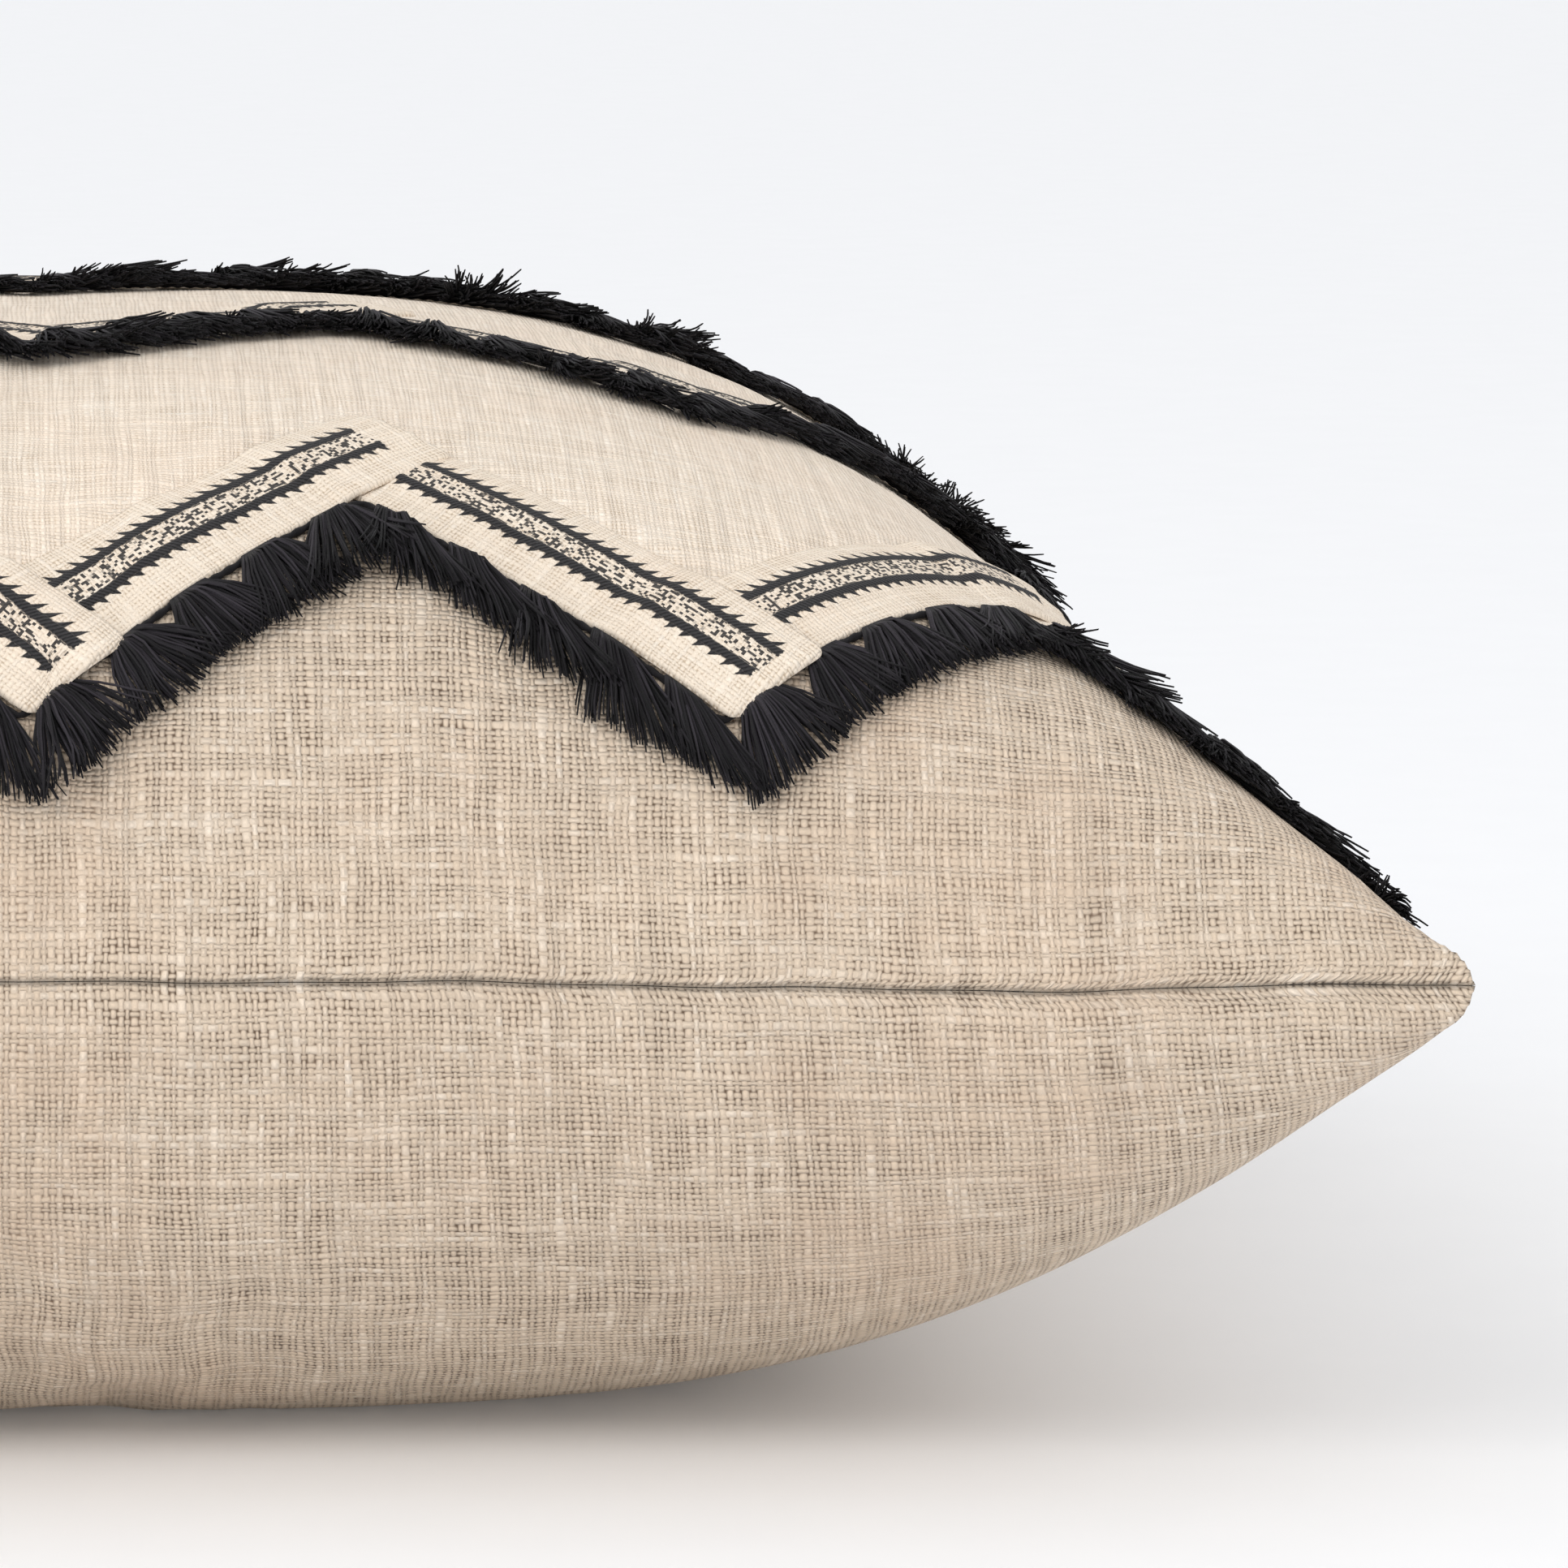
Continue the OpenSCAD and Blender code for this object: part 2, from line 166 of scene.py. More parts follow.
def simulate():
    """Blows up the flat-cut cover inside its form and returns how far each cloth point moved,
    as one grid for the front and one for the back."""
    n = CELLS + 1
    t = np.linspace(-1, 1, n)
    v, u = np.meshgrid(t, t, indexing="ij")
    inner = np.zeros((n, n), bool)
    inner[1:-1, 1:-1] = True
    front = np.arange(n * n).reshape(n, n)
    back = front.copy()
    back[inner] = n * n + np.arange(inner.sum())
    shape = np.concatenate([
        form(u, v, True, gap=0.0).reshape(-1, 3),
        form(u, v, False, gap=0.0)[inner],
    ])
    level = np.stack([u * FLAT_HALF, v * FLAT_HALF, np.full_like(u, SEAM_Z)], -1)
    flat = np.concatenate([level.reshape(-1, 3), level[inner]])
    start = shape.copy()
    start[:, 2] = SEAM_Z + (start[:, 2] - SEAM_Z) * START_SHARE
    mesh = bpy.data.meshes.new("cover_sim")
    faces = np.concatenate([quads(front), quads(back)[:, ::-1]])
    mesh.from_pydata(start.tolist(), [], faces.tolist())
    cover = bpy.data.objects.new("cover_sim", mesh)
    scene.collection.objects.link(cover)
    cover.shape_key_add(name="Basis")
    cover.shape_key_add(name="flat").data.foreach_set("co", flat.ravel())
    held = cover.vertex_groups.new(name="held")
    held.add(front[-1, np.abs(t) < PINNED].tolist(), 1.0, "REPLACE")
    modifier = cover.modifiers.new("cloth", "CLOTH")
    cloth = modifier.settings
    for setting, value in FABRIC.items():
        setattr(cloth, setting, value)
    cloth.rest_shape_key = mesh.shape_keys.key_blocks["flat"]
    cloth.vertex_group_mass = "held"
    cloth.effector_weights.gravity = 0
    modifier.collision_settings.use_collision = False
    modifier.collision_settings.use_self_collision = False
    modifier.point_cache.frame_end = SIM_FRAMES
    for step in range(1, SIM_FRAMES + 1):
        scene.frame_set(step)
    result = cover.evaluated_get(bpy.context.evaluated_depsgraph_get()).to_mesh()
    points = np.zeros(len(result.vertices) * 3)
    result.vertices.foreach_get("co", points)
    moved = points.reshape(-1, 3) - shape
    bpy.data.objects.remove(cover)
    scene.frame_set(1)
    grids = [moved[front], moved[back]]
    # The broad form stays as it is, and the creases that the cloth has made are kept.
    creases = [g - softened(g, BROAD_PASSES) for g in grids]
    away = np.minimum.outer(1 - np.abs(t), 1 - np.abs(t))[..., None]
    seam = (creases[0] + creases[1]) / 2
    near_seam = smooth(away, 0.08, 0.0)
    creases = [c * (1 - near_seam) + seam * near_seam for c in creases]
    zip_side = smooth(v, 0.8, 0.93) * smooth(np.abs(u), 0.8, 0.68)
    capped = []
    for grid in creases:
        length = np.linalg.norm(grid, axis=-1, keepdims=True)
        grid = grid * CREASE_SHARE * SIM_CAP / (length + SIM_CAP)
        capped.append(grid * (1 - zip_side[..., None]))
    return capped


def padded_grid(grid):
    """The grid with one more row on each side, carried straight on."""
    grid = np.concatenate([2 * grid[:1] - grid[1:2], grid, 2 * grid[-1:] - grid[-2:-1]], 0)
    return np.concatenate([2 * grid[:, :1] - grid[:, 1:2], grid, 2 * grid[:, -1:] - grid[:, -2:-1]], 1)


def catmull(t):
    """Weights of four neighbours for a smooth curve through them."""
    return [
        ((2 - t) * t - 1) * t / 2,
        ((3 * t - 5) * t * t + 2) / 2,
        ((4 - 3 * t) * t + 1) * t / 2,
        (t - 1) * t * t / 2,
    ]


def on_grid(grid, u, v):
    """Smooth value of a padded grid at cloth coordinates."""
    cells = grid.shape[0] - 3
    x = (np.clip(u, -1, 1) + 1) / 2 * cells
    y = (np.clip(v, -1, 1) + 1) / 2 * cells
    i = np.minimum(x.astype(int), cells - 1)
    j = np.minimum(y.astype(int), cells - 1)
    across, along = catmull(x - i), catmull(y - j)
    return sum(
        (along[b] * across[a])[..., None] * grid[j + b, i + a] for a in range(4) for b in range(4)
    )


front_moves, back_moves = (padded_grid(g) for g in simulate())

# Small puckers along the seams, where the stitching gathers the cloth.
PUCKER_WAVES = [(f, rng.uniform(0, TAU), rng.uniform(0, TAU)) for f in (31, 47, 71, 97)]
SEAM_WAVES = [(f, rng.uniform(0, TAU), 1.2 / f ** 0.6) for f in (3.1, 5.7, 9.3, 24, 53)]
GROOVE = 1.7 * MM
GROOVE_WIDTH = 1.6 * MM
PUCKER = 0.38 * MM
CORNER_ROUND = 0.7 * MM
CORNER_LOBE = 2.1 * MM
CORNER_LIFT = 1.8 * MM
CORNER_DROOP = 5.5 * MM


def seam_distance(t):
    """Distance to the seam in metres, measured on the flat cloth."""
    return (1 - np.abs(t)) * FLAT_HALF


def cover_surface(u, v, top, inset=0.0, rise_inset=0.0, fine=True):
    """Points of the finished cover, or of a layer inside it, at cloth coordinates."""
    points = form(u, v, top, inset, rise_inset) + on_grid(front_moves if top else back_moves, u, v)
    side = 1 if top else -1
    from_x, from_y = seam_distance(u), seam_distance(v)
    off_zip = 1 - smooth(v, 0.7, 0.9) * smooth(np.abs(u), 0.85, 0.7)
    wave = sum(np.sin(f * (u - v) + p) * size for f, p, size in SEAM_WAVES) * MM
    nearest = np.minimum(from_x, from_y)
    points[..., 2] += wave * off_zip * np.exp(-nearest / (30 * MM))
    along = np.where(from_x < from_y, v, u)
    pucker = sum(np.sin(f * along + (p if top else q)) for f, p, q in PUCKER_WAVES)
    depth = np.exp(-nearest / (9 * MM)) * smooth(nearest, 0, 3 * MM) * off_zip
    points[..., 2] += side * PUCKER * pucker * depth
    # The front corners turn up a little, and the back ones hang lower.
    turn = CORNER_LIFT * smooth(v, -0.5, -1) - CORNER_DROOP * smooth(v, 0.6, 1)
    points[..., 2] += turn * smooth(np.abs(u), 0.72, 1)
    # The corner is turned blunt, and the two cloths stand apart there.
    reach = np.sqrt(from_x ** 2 + from_y ** 2)
    tip = np.exp(-((reach / (4 * MM)) ** 2))
    points[..., 0] -= np.sign(u) * CORNER_ROUND * tip
    points[..., 1] -= np.sign(v) * CORNER_ROUND * tip
    corner = np.exp(-((reach / (9 * MM)) ** 2)) * (1 - 0.6 * smooth(v, 0, 0.5))
    points[..., 2] += side * CORNER_LOBE * corner * smooth(nearest, 0, 1.1 * MM)
    if fine:
        groove = GROOVE * (1 - 0.85 * tip)
        points[..., 0] -= np.sign(u) * groove * np.exp(-((from_x / GROOVE_WIDTH) ** 2))
        points[..., 1] -= np.sign(v) * groove * np.exp(-((from_y / GROOVE_WIDTH) ** 2))
    points[..., 2] = np.maximum(points[..., 2], rise_inset)
    return points


SURFACE_CELLS = 250
surface_t = np.linspace(-1, 1, SURFACE_CELLS + 1)
surface_v, surface_u = np.meshgrid(surface_t, surface_t, indexing="ij")
cover_top = padded_grid(cover_surface(surface_u, surface_v, True, fine=False))
# Reach of the slopes that give the surface's directions, in cloth coordinates.
STEP = 0.004


def lay(x, y, height):
    """Points at a height above the front of the cover, at flat cloth coordinates in metres."""
    u, v = x / FLAT_HALF, y / FLAT_HALF
    inside_u, inside_v = np.clip(u, -1, 1), np.clip(v, -1, 1)
    point = on_grid(cover_top, inside_u, inside_v)
    du = on_grid(cover_top, np.minimum(inside_u + STEP, 1), inside_v) - on_grid(
        cover_top, np.maximum(inside_u - STEP, -1), inside_v)
    dv = on_grid(cover_top, inside_u, np.minimum(inside_v + STEP, 1)) - on_grid(
        cover_top, inside_u, np.maximum(inside_v - STEP, -1))
    normal = np.cross(du, dv)
    normal /= np.linalg.norm(normal, axis=-1, keepdims=True)
    du /= np.linalg.norm(du, axis=-1, keepdims=True)
    dv /= np.linalg.norm(dv, axis=-1, keepdims=True)
    beyond = (u - inside_u)[..., None] * FLAT_HALF * du + (v - inside_v)[..., None] * FLAT_HALF * dv
    return point + beyond + np.asarray(height)[..., None] * normal


# ---------------------------------------------------------------- building meshes


def closed_sheet(face, back):
    """Vertices, faces and count of surface faces of a closed sheet between two grids."""
    rows, columns = face.shape[:2]
    count = rows * columns
    index = np.arange(count).reshape(rows, columns)
    top = quads(index)
    rim = np.concatenate([index[0, :-1], index[:-1, -1], index[-1, :0:-1], index[:0:-1, 0]])
    after = np.roll(rim, -1)
    wall = np.stack([rim, rim + count, after + count, after], -1)
    points = np.concatenate([face.reshape(-1, 3), back.reshape(-1, 3)])
    return points, np.concatenate([top, top[:, ::-1] + count, wall]), 2 * len(top)


def tubes(centres, sides_of, ups, radii, sides):
    """Closed tubes along rows of centre points. radii is one radius per point, or per point and side."""
    lines, steps = centres.shape[:2]
    turn = TAU * np.arange(sides) / sides
    radii = np.broadcast_to(radii if radii.ndim == 3 else radii[..., None], (lines, steps, sides))
    ring = (
        centres[:, :, None]
        + sides_of[:, :, None] * (radii * np.cos(turn))[..., None]
        + ups[:, :, None] * (radii * np.sin(turn))[..., None]
    )
    index = np.arange(lines * steps * sides).reshape(lines, steps, sides)
    after = np.roll(index, -1, axis=2)
    walls = np.stack([index[:, :-1], after[:, :-1], after[:, 1:], index[:, 1:]], -1).reshape(-1, 4)
    ends = [index[:, 0, ::-1], index[:, -1]]
    return ring.reshape(-1, 3), walls, ends


def piece(name, points, faces, material, nodes, uv=None, smooth_faces=None, body="cover"):
    """Makes a mesh piece that rides on a body. faces is an array of quads or a list of such arrays."""
    groups = faces if isinstance(faces, list) else [faces]
    corners = np.concatenate([g.reshape(-1) for g in groups]).astype(np.int32)
    totals = np.concatenate([np.full(len(g), g.shape[1]) for g in groups]).astype(np.int32)
    mesh = bpy.data.meshes.new(name)
    mesh.vertices.add(len(points))
    mesh.vertices.foreach_set("co", np.ascontiguousarray(points, np.float32).ravel())
    mesh.loops.add(len(corners))
    mesh.loops.foreach_set("vertex_index", corners)
    mesh.polygons.add(len(totals))
    mesh.polygons.foreach_set("loop_start", (np.cumsum(totals) - totals).astype(np.int32))
    mesh.polygons.foreach_set("loop_total", totals)
    is_smooth = np.ones(len(totals), bool)
    if smooth_faces is not None:
        is_smooth[smooth_faces:] = False
    mesh.polygons.foreach_set("use_smooth", is_smooth)
    for map_name, values in (uv or {}).items():
        layer = mesh.uv_layers.new(name=map_name)
        layer.data.foreach_set("uv", values.reshape(-1, 2)[corners].astype(np.float32).ravel())
    mesh.update(calc_edges=True)
    mesh.validate()
    mesh.materials.append(material)
    made = bpy.data.objects.new(name, mesh)
    scene.collection.objects.link(made)
    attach(made, body)
    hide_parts(*nodes)
    return made


# ---------------------------------------------------------------- materials


class Graph:
    """Adds nodes to one material."""

    def __init__(self, name):
        self.material = bpy.data.materials.new(name)
        self.material.use_nodes = True
        self.nodes = self.material.node_tree.nodes
        self.links = self.material.node_tree.links
        self.nodes.clear()
        self.shader = self.nodes.new("ShaderNodeBsdfPrincipled")
        out = self.nodes.new("ShaderNodeOutputMaterial")
        self.links.new(self.shader.outputs[0], out.inputs[0])

    def put(self, socket, value):
        if isinstance(value, bpy.types.NodeSocket):
            self.links.new(value, socket)
        else:
            socket.default_value = value

    def math(self, operation, *values):
        node = self.nodes.new("ShaderNodeMath")
        node.operation = operation
        for socket, value in zip(node.inputs, values):
            self.put(socket, value)
        return node.outputs[0]

    def plus(self, a, b):
        return self.math("ADD", a, b)

    def minus(self, a, b):
        return self.math("SUBTRACT", a, b)

    def times(self, a, b):
        return self.math("MULTIPLY", a, b)

    def coords(self, map_name):
        """The two coordinates of a named map, in metres."""
        source = self.nodes.new("ShaderNodeUVMap")
        source.uv_map = map_name
        return self.apart(source.outputs[0])[:2]

    def place(self):
        """Object coordinates."""
        node = self.nodes.new("ShaderNodeTexCoord")
        return node.outputs["Object"]

    def apart(self, vector):
        node = self.nodes.new("ShaderNodeSeparateXYZ")
        self.links.new(vector, node.inputs[0])
        return tuple(node.outputs)

    def join(self, x, y, z=0.0):
        node = self.nodes.new("ShaderNodeCombineXYZ")
        for socket, value in zip(node.inputs, (x, y, z)):
            self.put(socket, value)
        return node.outputs[0]

    def noise(self, vector, scale, detail=2.0, roughness=0.5):
        node = self.nodes.new("ShaderNodeTexNoise")
        self.put(node.inputs["Vector"], vector)
        node.inputs["Scale"].default_value = scale
        node.inputs["Detail"].default_value = detail
        node.inputs["Roughness"].default_value = roughness
        return node.outputs[0]

    def white(self, vector):
        node = self.nodes.new("ShaderNodeTexWhiteNoise")
        node.noise_dimensions = "2D"
        self.put(node.inputs["Vector"], vector)
        return node.outputs[0]

    def step(self, value, start, end):
        """0 at start and 1 at end, with an even turn between them."""
        node = self.nodes.new("ShaderNodeMapRange")
        node.interpolation_type = "SMOOTHSTEP"
        self.put(node.inputs["Value"], value)
        node.inputs["From Min"].default_value = start
        node.inputs["From Max"].default_value = end
        return node.outputs[0]

    def mix(self, factor, a, b):
        node = self.nodes.new("ShaderNodeMix")
        node.data_type = "RGBA"
        self.put(node.inputs[0], factor)
        self.put(node.inputs[6], a)
        self.put(node.inputs[7], b)
        return node.outputs[2]

    def scaled(self, colour, factor):
        """The colour times a factor."""
        node = self.nodes.new("ShaderNodeMix")
        node.data_type = "RGBA"
        node.blend_type = "MULTIPLY"
        node.inputs[0].default_value = 1.0
        self.put(node.inputs[6], colour)
        self.put(node.inputs[7], self.join(factor, factor, factor))
        return node.outputs[2]

    def blend(self, values):
        """Weighted sum of (value, weight) pairs."""
        total = None
        for value, weight in values:
            term = self.times(value, weight)
            total = term if total is None else self.plus(total, term)
        return total

    def finish(self, colour, height, distance, roughness, strength=1.0, **sockets):
        self.put(self.shader.inputs["Base Color"], colour)
        bump = self.nodes.new("ShaderNodeBump")
        bump.inputs["Strength"].default_value = strength
        bump.inputs["Distance"].default_value = distance
        self.put(bump.inputs["Height"], height)
        self.links.new(bump.outputs[0], self.shader.inputs["Normal"])
        self.put(self.shader.inputs["Roughness"], roughness)
        for name, value in sockets.items():
            self.shader.inputs[name.replace("_", " ")].default_value = value
        return self.material


def plain_weave(g, x, y, pitch, wander, slub):
    """Height of a plain weave with uneven yarns, the tone of the yarn on top, and which yarn it is."""
    flat_x, flat_y = x, y
    for turn in (0, 1):
        # Threads wander in broad curves, and neighbours differ in width.
        own, other = (flat_x, flat_y) if turn == 0 else (flat_y, flat_x)
        drift = g.noise(g.join(own, other, 3.7 * turn), 90, 2)
        width = g.noise(g.join(g.times(own, 0.42 / pitch), g.times(other, 28), 8.1 * turn), 1, 1)
        moved = g.blend([(g.minus(drift, 0.5), wander), (g.minus(width, 0.5), 1.5 * pitch)])
        moved = g.plus(own, moved)
        x, y = (moved, y) if turn == 0 else (x, moved)
    a = g.times(x, 1 / pitch)
    b = g.times(y, 1 / pitch)
    wave_a = g.math("SINE", g.times(a, math.pi))
    wave_b = g.math("SINE", g.times(b, math.pi))
    cross = g.times(wave_a, wave_b)
    warp_id, weft_id = g.math("FLOOR", a), g.math("FLOOR", b)
    # Each yarn swells and thins along its length, and some swell into slubs.
    warp_run = g.noise(g.join(g.times(warp_id, 7.31), g.times(y, slub)), 1, 3, 0.6)
    weft_run = g.noise(g.join(g.times(x, slub), g.times(weft_id, 5.17)), 1, 3, 0.6)
    warp = g.plus(g.times(g.math("ABSOLUTE", wave_a), 0.55), g.times(cross, 0.45))
    weft = g.minus(g.times(g.math("ABSOLUTE", wave_b), 0.55), g.times(cross, 0.45))
    warp = g.plus(warp, g.times(g.minus(warp_run, 0.5), 1.3))
    weft = g.plus(weft, g.times(g.minus(weft_run, 0.5), 1.3))
    # Some places are woven tighter than others.
    tight = g.noise(g.join(flat_x, flat_y, 6.3), 130, 3, 0.6)
    height = g.math("MAXIMUM", warp, weft)
    height = g.plus(height, g.times(g.minus(tight, 0.5), 0.65))
    on_top = g.step(g.minus(warp, weft), -0.05, 0.05)
    run = g.plus(g.times(warp_run, on_top),
                 g.times(weft_run, g.minus(1.0, on_top)))
    return height, run, on_top


def cloth_material(name, pitch, dark, middle, light, tint, wander, slub, depth, mottle, **sockets):
    g = Graph(name)
    x, y = g.coords("cloth")
    height, run, on_top = plain_weave(g, x, y, pitch, wander, slub)
    fibre = g.noise(g.join(x, y), 2600, 2, 0.7)
    broad = g.noise(g.join(x, y, 1.3), 22, 3, 0.6)
    # Painted shade: the low places between the yarns take the dark colour. The raised crests of swelled yarn
    # take the light colour, partly the paler yarn of slubs and partly painted highlight.
    colour = g.mix(g.step(height, -0.06, 0.52), dark, middle)
    colour = g.mix(g.times(g.step(run, 0.45, 0.8), g.step(height, 0.2, 0.8)), colour, light)
    colour = g.mix(g.times(g.step(broad, 0.45, 0.75), mottle), colour, tint)
    # Bands of thicker and paler yarn run both ways through the cloth.
    upright = g.noise(g.join(g.times(x, 0.45 / pitch), g.times(y, 14)), 1, 2, 0.6)
    level = g.noise(g.join(g.times(x, 14), g.times(y, 0.45 / pitch), 5.0), 1, 2, 0.6)
    shade = g.blend([(fibre, 0.24), (on_top, 0.05), (upright, 0.36), (level, 0.22)])
    # Little light gets into the seams along the edges of the cloth.
    edge = g.minus(FLAT_HALF, g.math("MAXIMUM", g.math("ABSOLUTE", x), g.math("ABSOLUTE", y)))
    edge = g.plus(edge, g.times(g.minus(g.noise(g.join(x, y), 260, 2), 0.5), 1.2 * MM))
    lit = g.plus(0.48, g.times(g.step(edge, 0.0, 1.2 * MM), 0.52))
    colour = g.scaled(colour, g.times(lit, g.plus(shade, 0.6)))
    rough = g.plus(0.78, g.times(height, 0.14))
    return g.finish(colour, g.blend([(height, 1.0), (fibre, 0.25)]), depth, rough, **sockets)


# Painted shade for the gaps between cream yarns. In each weave below, the first colour is painted shade
# between the yarns, and the third is partly painted highlight on the yarn crests.
CREAM_PAINTED_SHADE = linear(196, 176, 152)
CREAM_TINT = linear(240, 218, 196)
natural_weave = cloth_material(
    "natural_weave", 1.3 * MM, linear(92, 70, 50), linear(213, 194, 172), linear(236, 222, 205),
    linear(208, 181, 156), 0.8 * MM, 60, 0.6 * MM, 0.35, Sheen_Weight=0.08, Sheen_Roughness=0.6)
cream_weave = cloth_material(
    "cream_weave", 0.95 * MM, CREAM_PAINTED_SHADE, linear(236, 221, 203), linear(246, 236, 222),
    CREAM_TINT, 0.5 * MM, 75, 0.34 * MM, 0.35, Sheen_Weight=0.08, Sheen_Roughness=0.6)
insert_cloth = cloth_material(
    "insert_cloth", 0.6 * MM, linear(205, 206, 208), linear(238, 238, 238), linear(250, 250, 250),
    linear(232, 234, 238), 0.2 * MM, 60, 0.12 * MM, 0.25, Sheen_Weight=0.1, Sheen_Roughness=0.5)

# Tape pattern, outward from the middle of its band: speckle, raised line, teeth.
BAND_MIDDLE = 12.9 * MM
SPECKLE_HALF = 2.45 * MM
LINE_END = 4.25 * MM
TEETH_END = 6.5 * MM
TOOTH_PITCH = 3.1 * MM
CELL = (0.62 * MM, 0.54 * MM)


def tape_material():
    g = Graph("patterned_tape")
    s, t = g.coords("tape")
    _, to_end = g.coords("tape_end")
    wander = g.noise(g.join(s, t), 900, 2, 0.7)
    off = g.math("ABSOLUTE", g.minus(t, BAND_MIDDLE))
    off = g.plus(off, g.times(g.minus(wander, 0.5), 0.9 * MM))
    # The teeth lean one way above the band and the other way below it.
    lean = g.times(g.minus(t, BAND_MIDDLE), 0.8)
    phase = g.math("FRACT", g.math("DIVIDE", g.plus(s, lean), TOOTH_PITCH))
    to_tip = g.times(g.math("ABSOLUTE", g.minus(phase, 0.5)), 2.0)
    # The teeth below the band are the shorter ones.
    short = g.minus(1.6, g.times(g.step(t, BAND_MIDDLE - 0.1 * MM, BAND_MIDDLE), 0.6))
    out = g.times(g.minus(off, LINE_END), short)
    tooth = g.times(g.minus(1.0, g.math("DIVIDE", out, TEETH_END - LINE_END)), 0.56)
    tooth = g.step(g.minus(tooth, to_tip), -0.05, 0.08)
    tooth = g.times(tooth, g.step(off, TEETH_END + 0.1 * MM, TEETH_END - 0.2 * MM))
    line = g.times(g.step(off, SPECKLE_HALF - 0.15 * MM, SPECKLE_HALF + 0.15 * MM),
                  g.step(off, LINE_END + 0.2 * MM, LINE_END - 0.1 * MM))
    cell = g.join(*(g.math("FLOOR", g.math("DIVIDE", a, size)) for a, size in zip((s, t), CELL)))
    in_band = g.step(off, SPECKLE_HALF + 0.1 * MM, SPECKLE_HALF - 0.1 * MM)
    fleck = g.times(g.times(g.step(g.white(cell), 0.56, 0.66), 0.95), in_band)
    inside = g.step(off, LINE_END, LINE_END - 0.1 * MM)
    outer = g.times(tooth, g.minus(1.0, inside))
    dark = g.math("MAXIMUM", g.math("MAXIMUM", line, fleck), outer)
    ragged = g.plus(to_end, g.times(g.minus(wander, 0.5), 2.5 * MM))
    dark = g.times(dark, g.step(ragged, 0.0, 0.3 * MM))
    height, run, _ = plain_weave(g, s, t, 0.95 * MM, 0.5 * MM, 75)
    fibre = g.noise(g.join(s, t), 2600, 2, 0.7)
    broad = g.noise(g.join(s, t, 1.3), 40, 3, 0.6)
    # Painted shade: the low places between the tape's yarns take the darker cream.
    cream = g.mix(g.step(height, 0.02, 0.5), CREAM_PAINTED_SHADE, linear(238, 223, 204))
    cream = g.mix(g.times(g.step(run, 0.45, 0.8), 0.7), cream, linear(247, 237, 223))
    cream = g.mix(g.times(g.step(broad, 0.45, 0.75), 0.35), cream, CREAM_TINT)
    # The black yarn is wrapped aslant round the raised lines.
    wrap = g.math("SINE", g.times(g.plus(s, g.times(t, 0.8)), TAU / (0.9 * MM)))
    ink = g.mix(g.step(g.plus(g.times(wrap, 0.35), fibre), 0.3, 1.0),
                linear(13, 12, 14), linear(46, 42, 45))
    colour = g.mix(dark, cream, ink)
    colour = g.scaled(colour, g.plus(0.82, g.times(fibre, 0.36)))
    wrapped = g.times(g.times(wrap, dark), 0.5)
    relief = g.blend([(height, 0.8), (dark, 0.7), (wrapped, 1.0), (fibre, 0.3)])
    rough = g.minus(0.88, g.times(dark, 0.12))
    return g.finish(colour, relief, 0.36 * MM, rough, Sheen_Weight=0.04, Sheen_Roughness=0.6)


patterned_tape = tape_material()


def cotton_material():
    """Black cotton yarn. Map "strand" holds a number of the strand and the place along it."""
    g = Graph("black_cotton")
    number, along = g.coords("strand")
    fibre = g.noise(g.join(g.times(number, 91.7), g.times(along, 2600)), 1, 2, 0.7)
    tone = g.math("FRACT", g.times(number, 17.31))
    colour = g.mix(g.step(tone, 0.2, 1.0), linear(17, 15, 18), linear(48, 44, 50))
    # The cut ends lie in the shade of the strands above them.
    shaded = g.minus(1.0, g.times(g.step(along, 10 * MM, 16 * MM), 0.5))
    colour = g.scaled(colour, g.times(shaded, g.plus(0.55, fibre)))
    rough = g.plus(0.74, g.times(fibre, 0.2))
    return g.finish(colour, fibre, 0.12 * MM, rough, Sheen_Weight=0.04, Specular_IOR_Level=0.3)


black_cotton = cotton_material()


def fibre_material():
    g = Graph("fibre")
    where = g.place()
    curl = g.noise(where, 900, 4, 0.75)
    tuft = g.noise(where, 60, 3, 0.6)
    colour = g.mix(g.step(curl, 0.3, 0.7), linear(222, 224, 228), linear(250, 250, 250))
    colour = g.scaled(colour, g.plus(0.85, g.times(tuft, 0.25)))
    rough = g.plus(0.8, g.times(tuft, 0.15))
    return g.finish(colour, g.blend([(curl, 1.0), (tuft, 2.0)]), 1 * MM, rough, Sheen_Weight=0.3)


fibre_white = fibre_material()


def zip_tape_material():
    """Herringbone twill of a zip tape, in object coordinates along the seam."""
    g = Graph("zip_tape")
    x, _, z = g.apart(g.place())
    chevron = g.math("ABSOLUTE", g.minus(g.math("FRACT", g.times(z, 1 / (2.4 * MM))), 0.5))
    twill = g.math("SINE", g.plus(g.times(x, TAU / (0.5 * MM)),
                                  g.times(chevron, 4 * math.pi)))
    fibre = g.noise(g.place(), 2400, 2, 0.7)
    colour = g.mix(g.step(twill, -0.8, 0.8), linear(168, 150, 128), linear(206, 190, 168))
    colour = g.scaled(colour, g.plus(0.8, g.times(fibre, 0.4)))
    rough = g.plus(0.7, g.times(fibre, 0.2))
    return g.finish(colour, twill, 0.1 * MM, rough, Sheen_Weight=0.1)


def coil_material():
    g = Graph("zip_coil")
    cloudy = g.noise(g.place(), 700, 3, 0.6)
    colour = g.mix(g.step(cloudy, 0.35, 0.7), linear(186, 168, 144), linear(214, 199, 178))
    rough = g.plus(0.28, g.times(cloudy, 0.2))
    return g.finish(colour, cloudy, 0.03 * MM, rough, Coat_Weight=0.15)


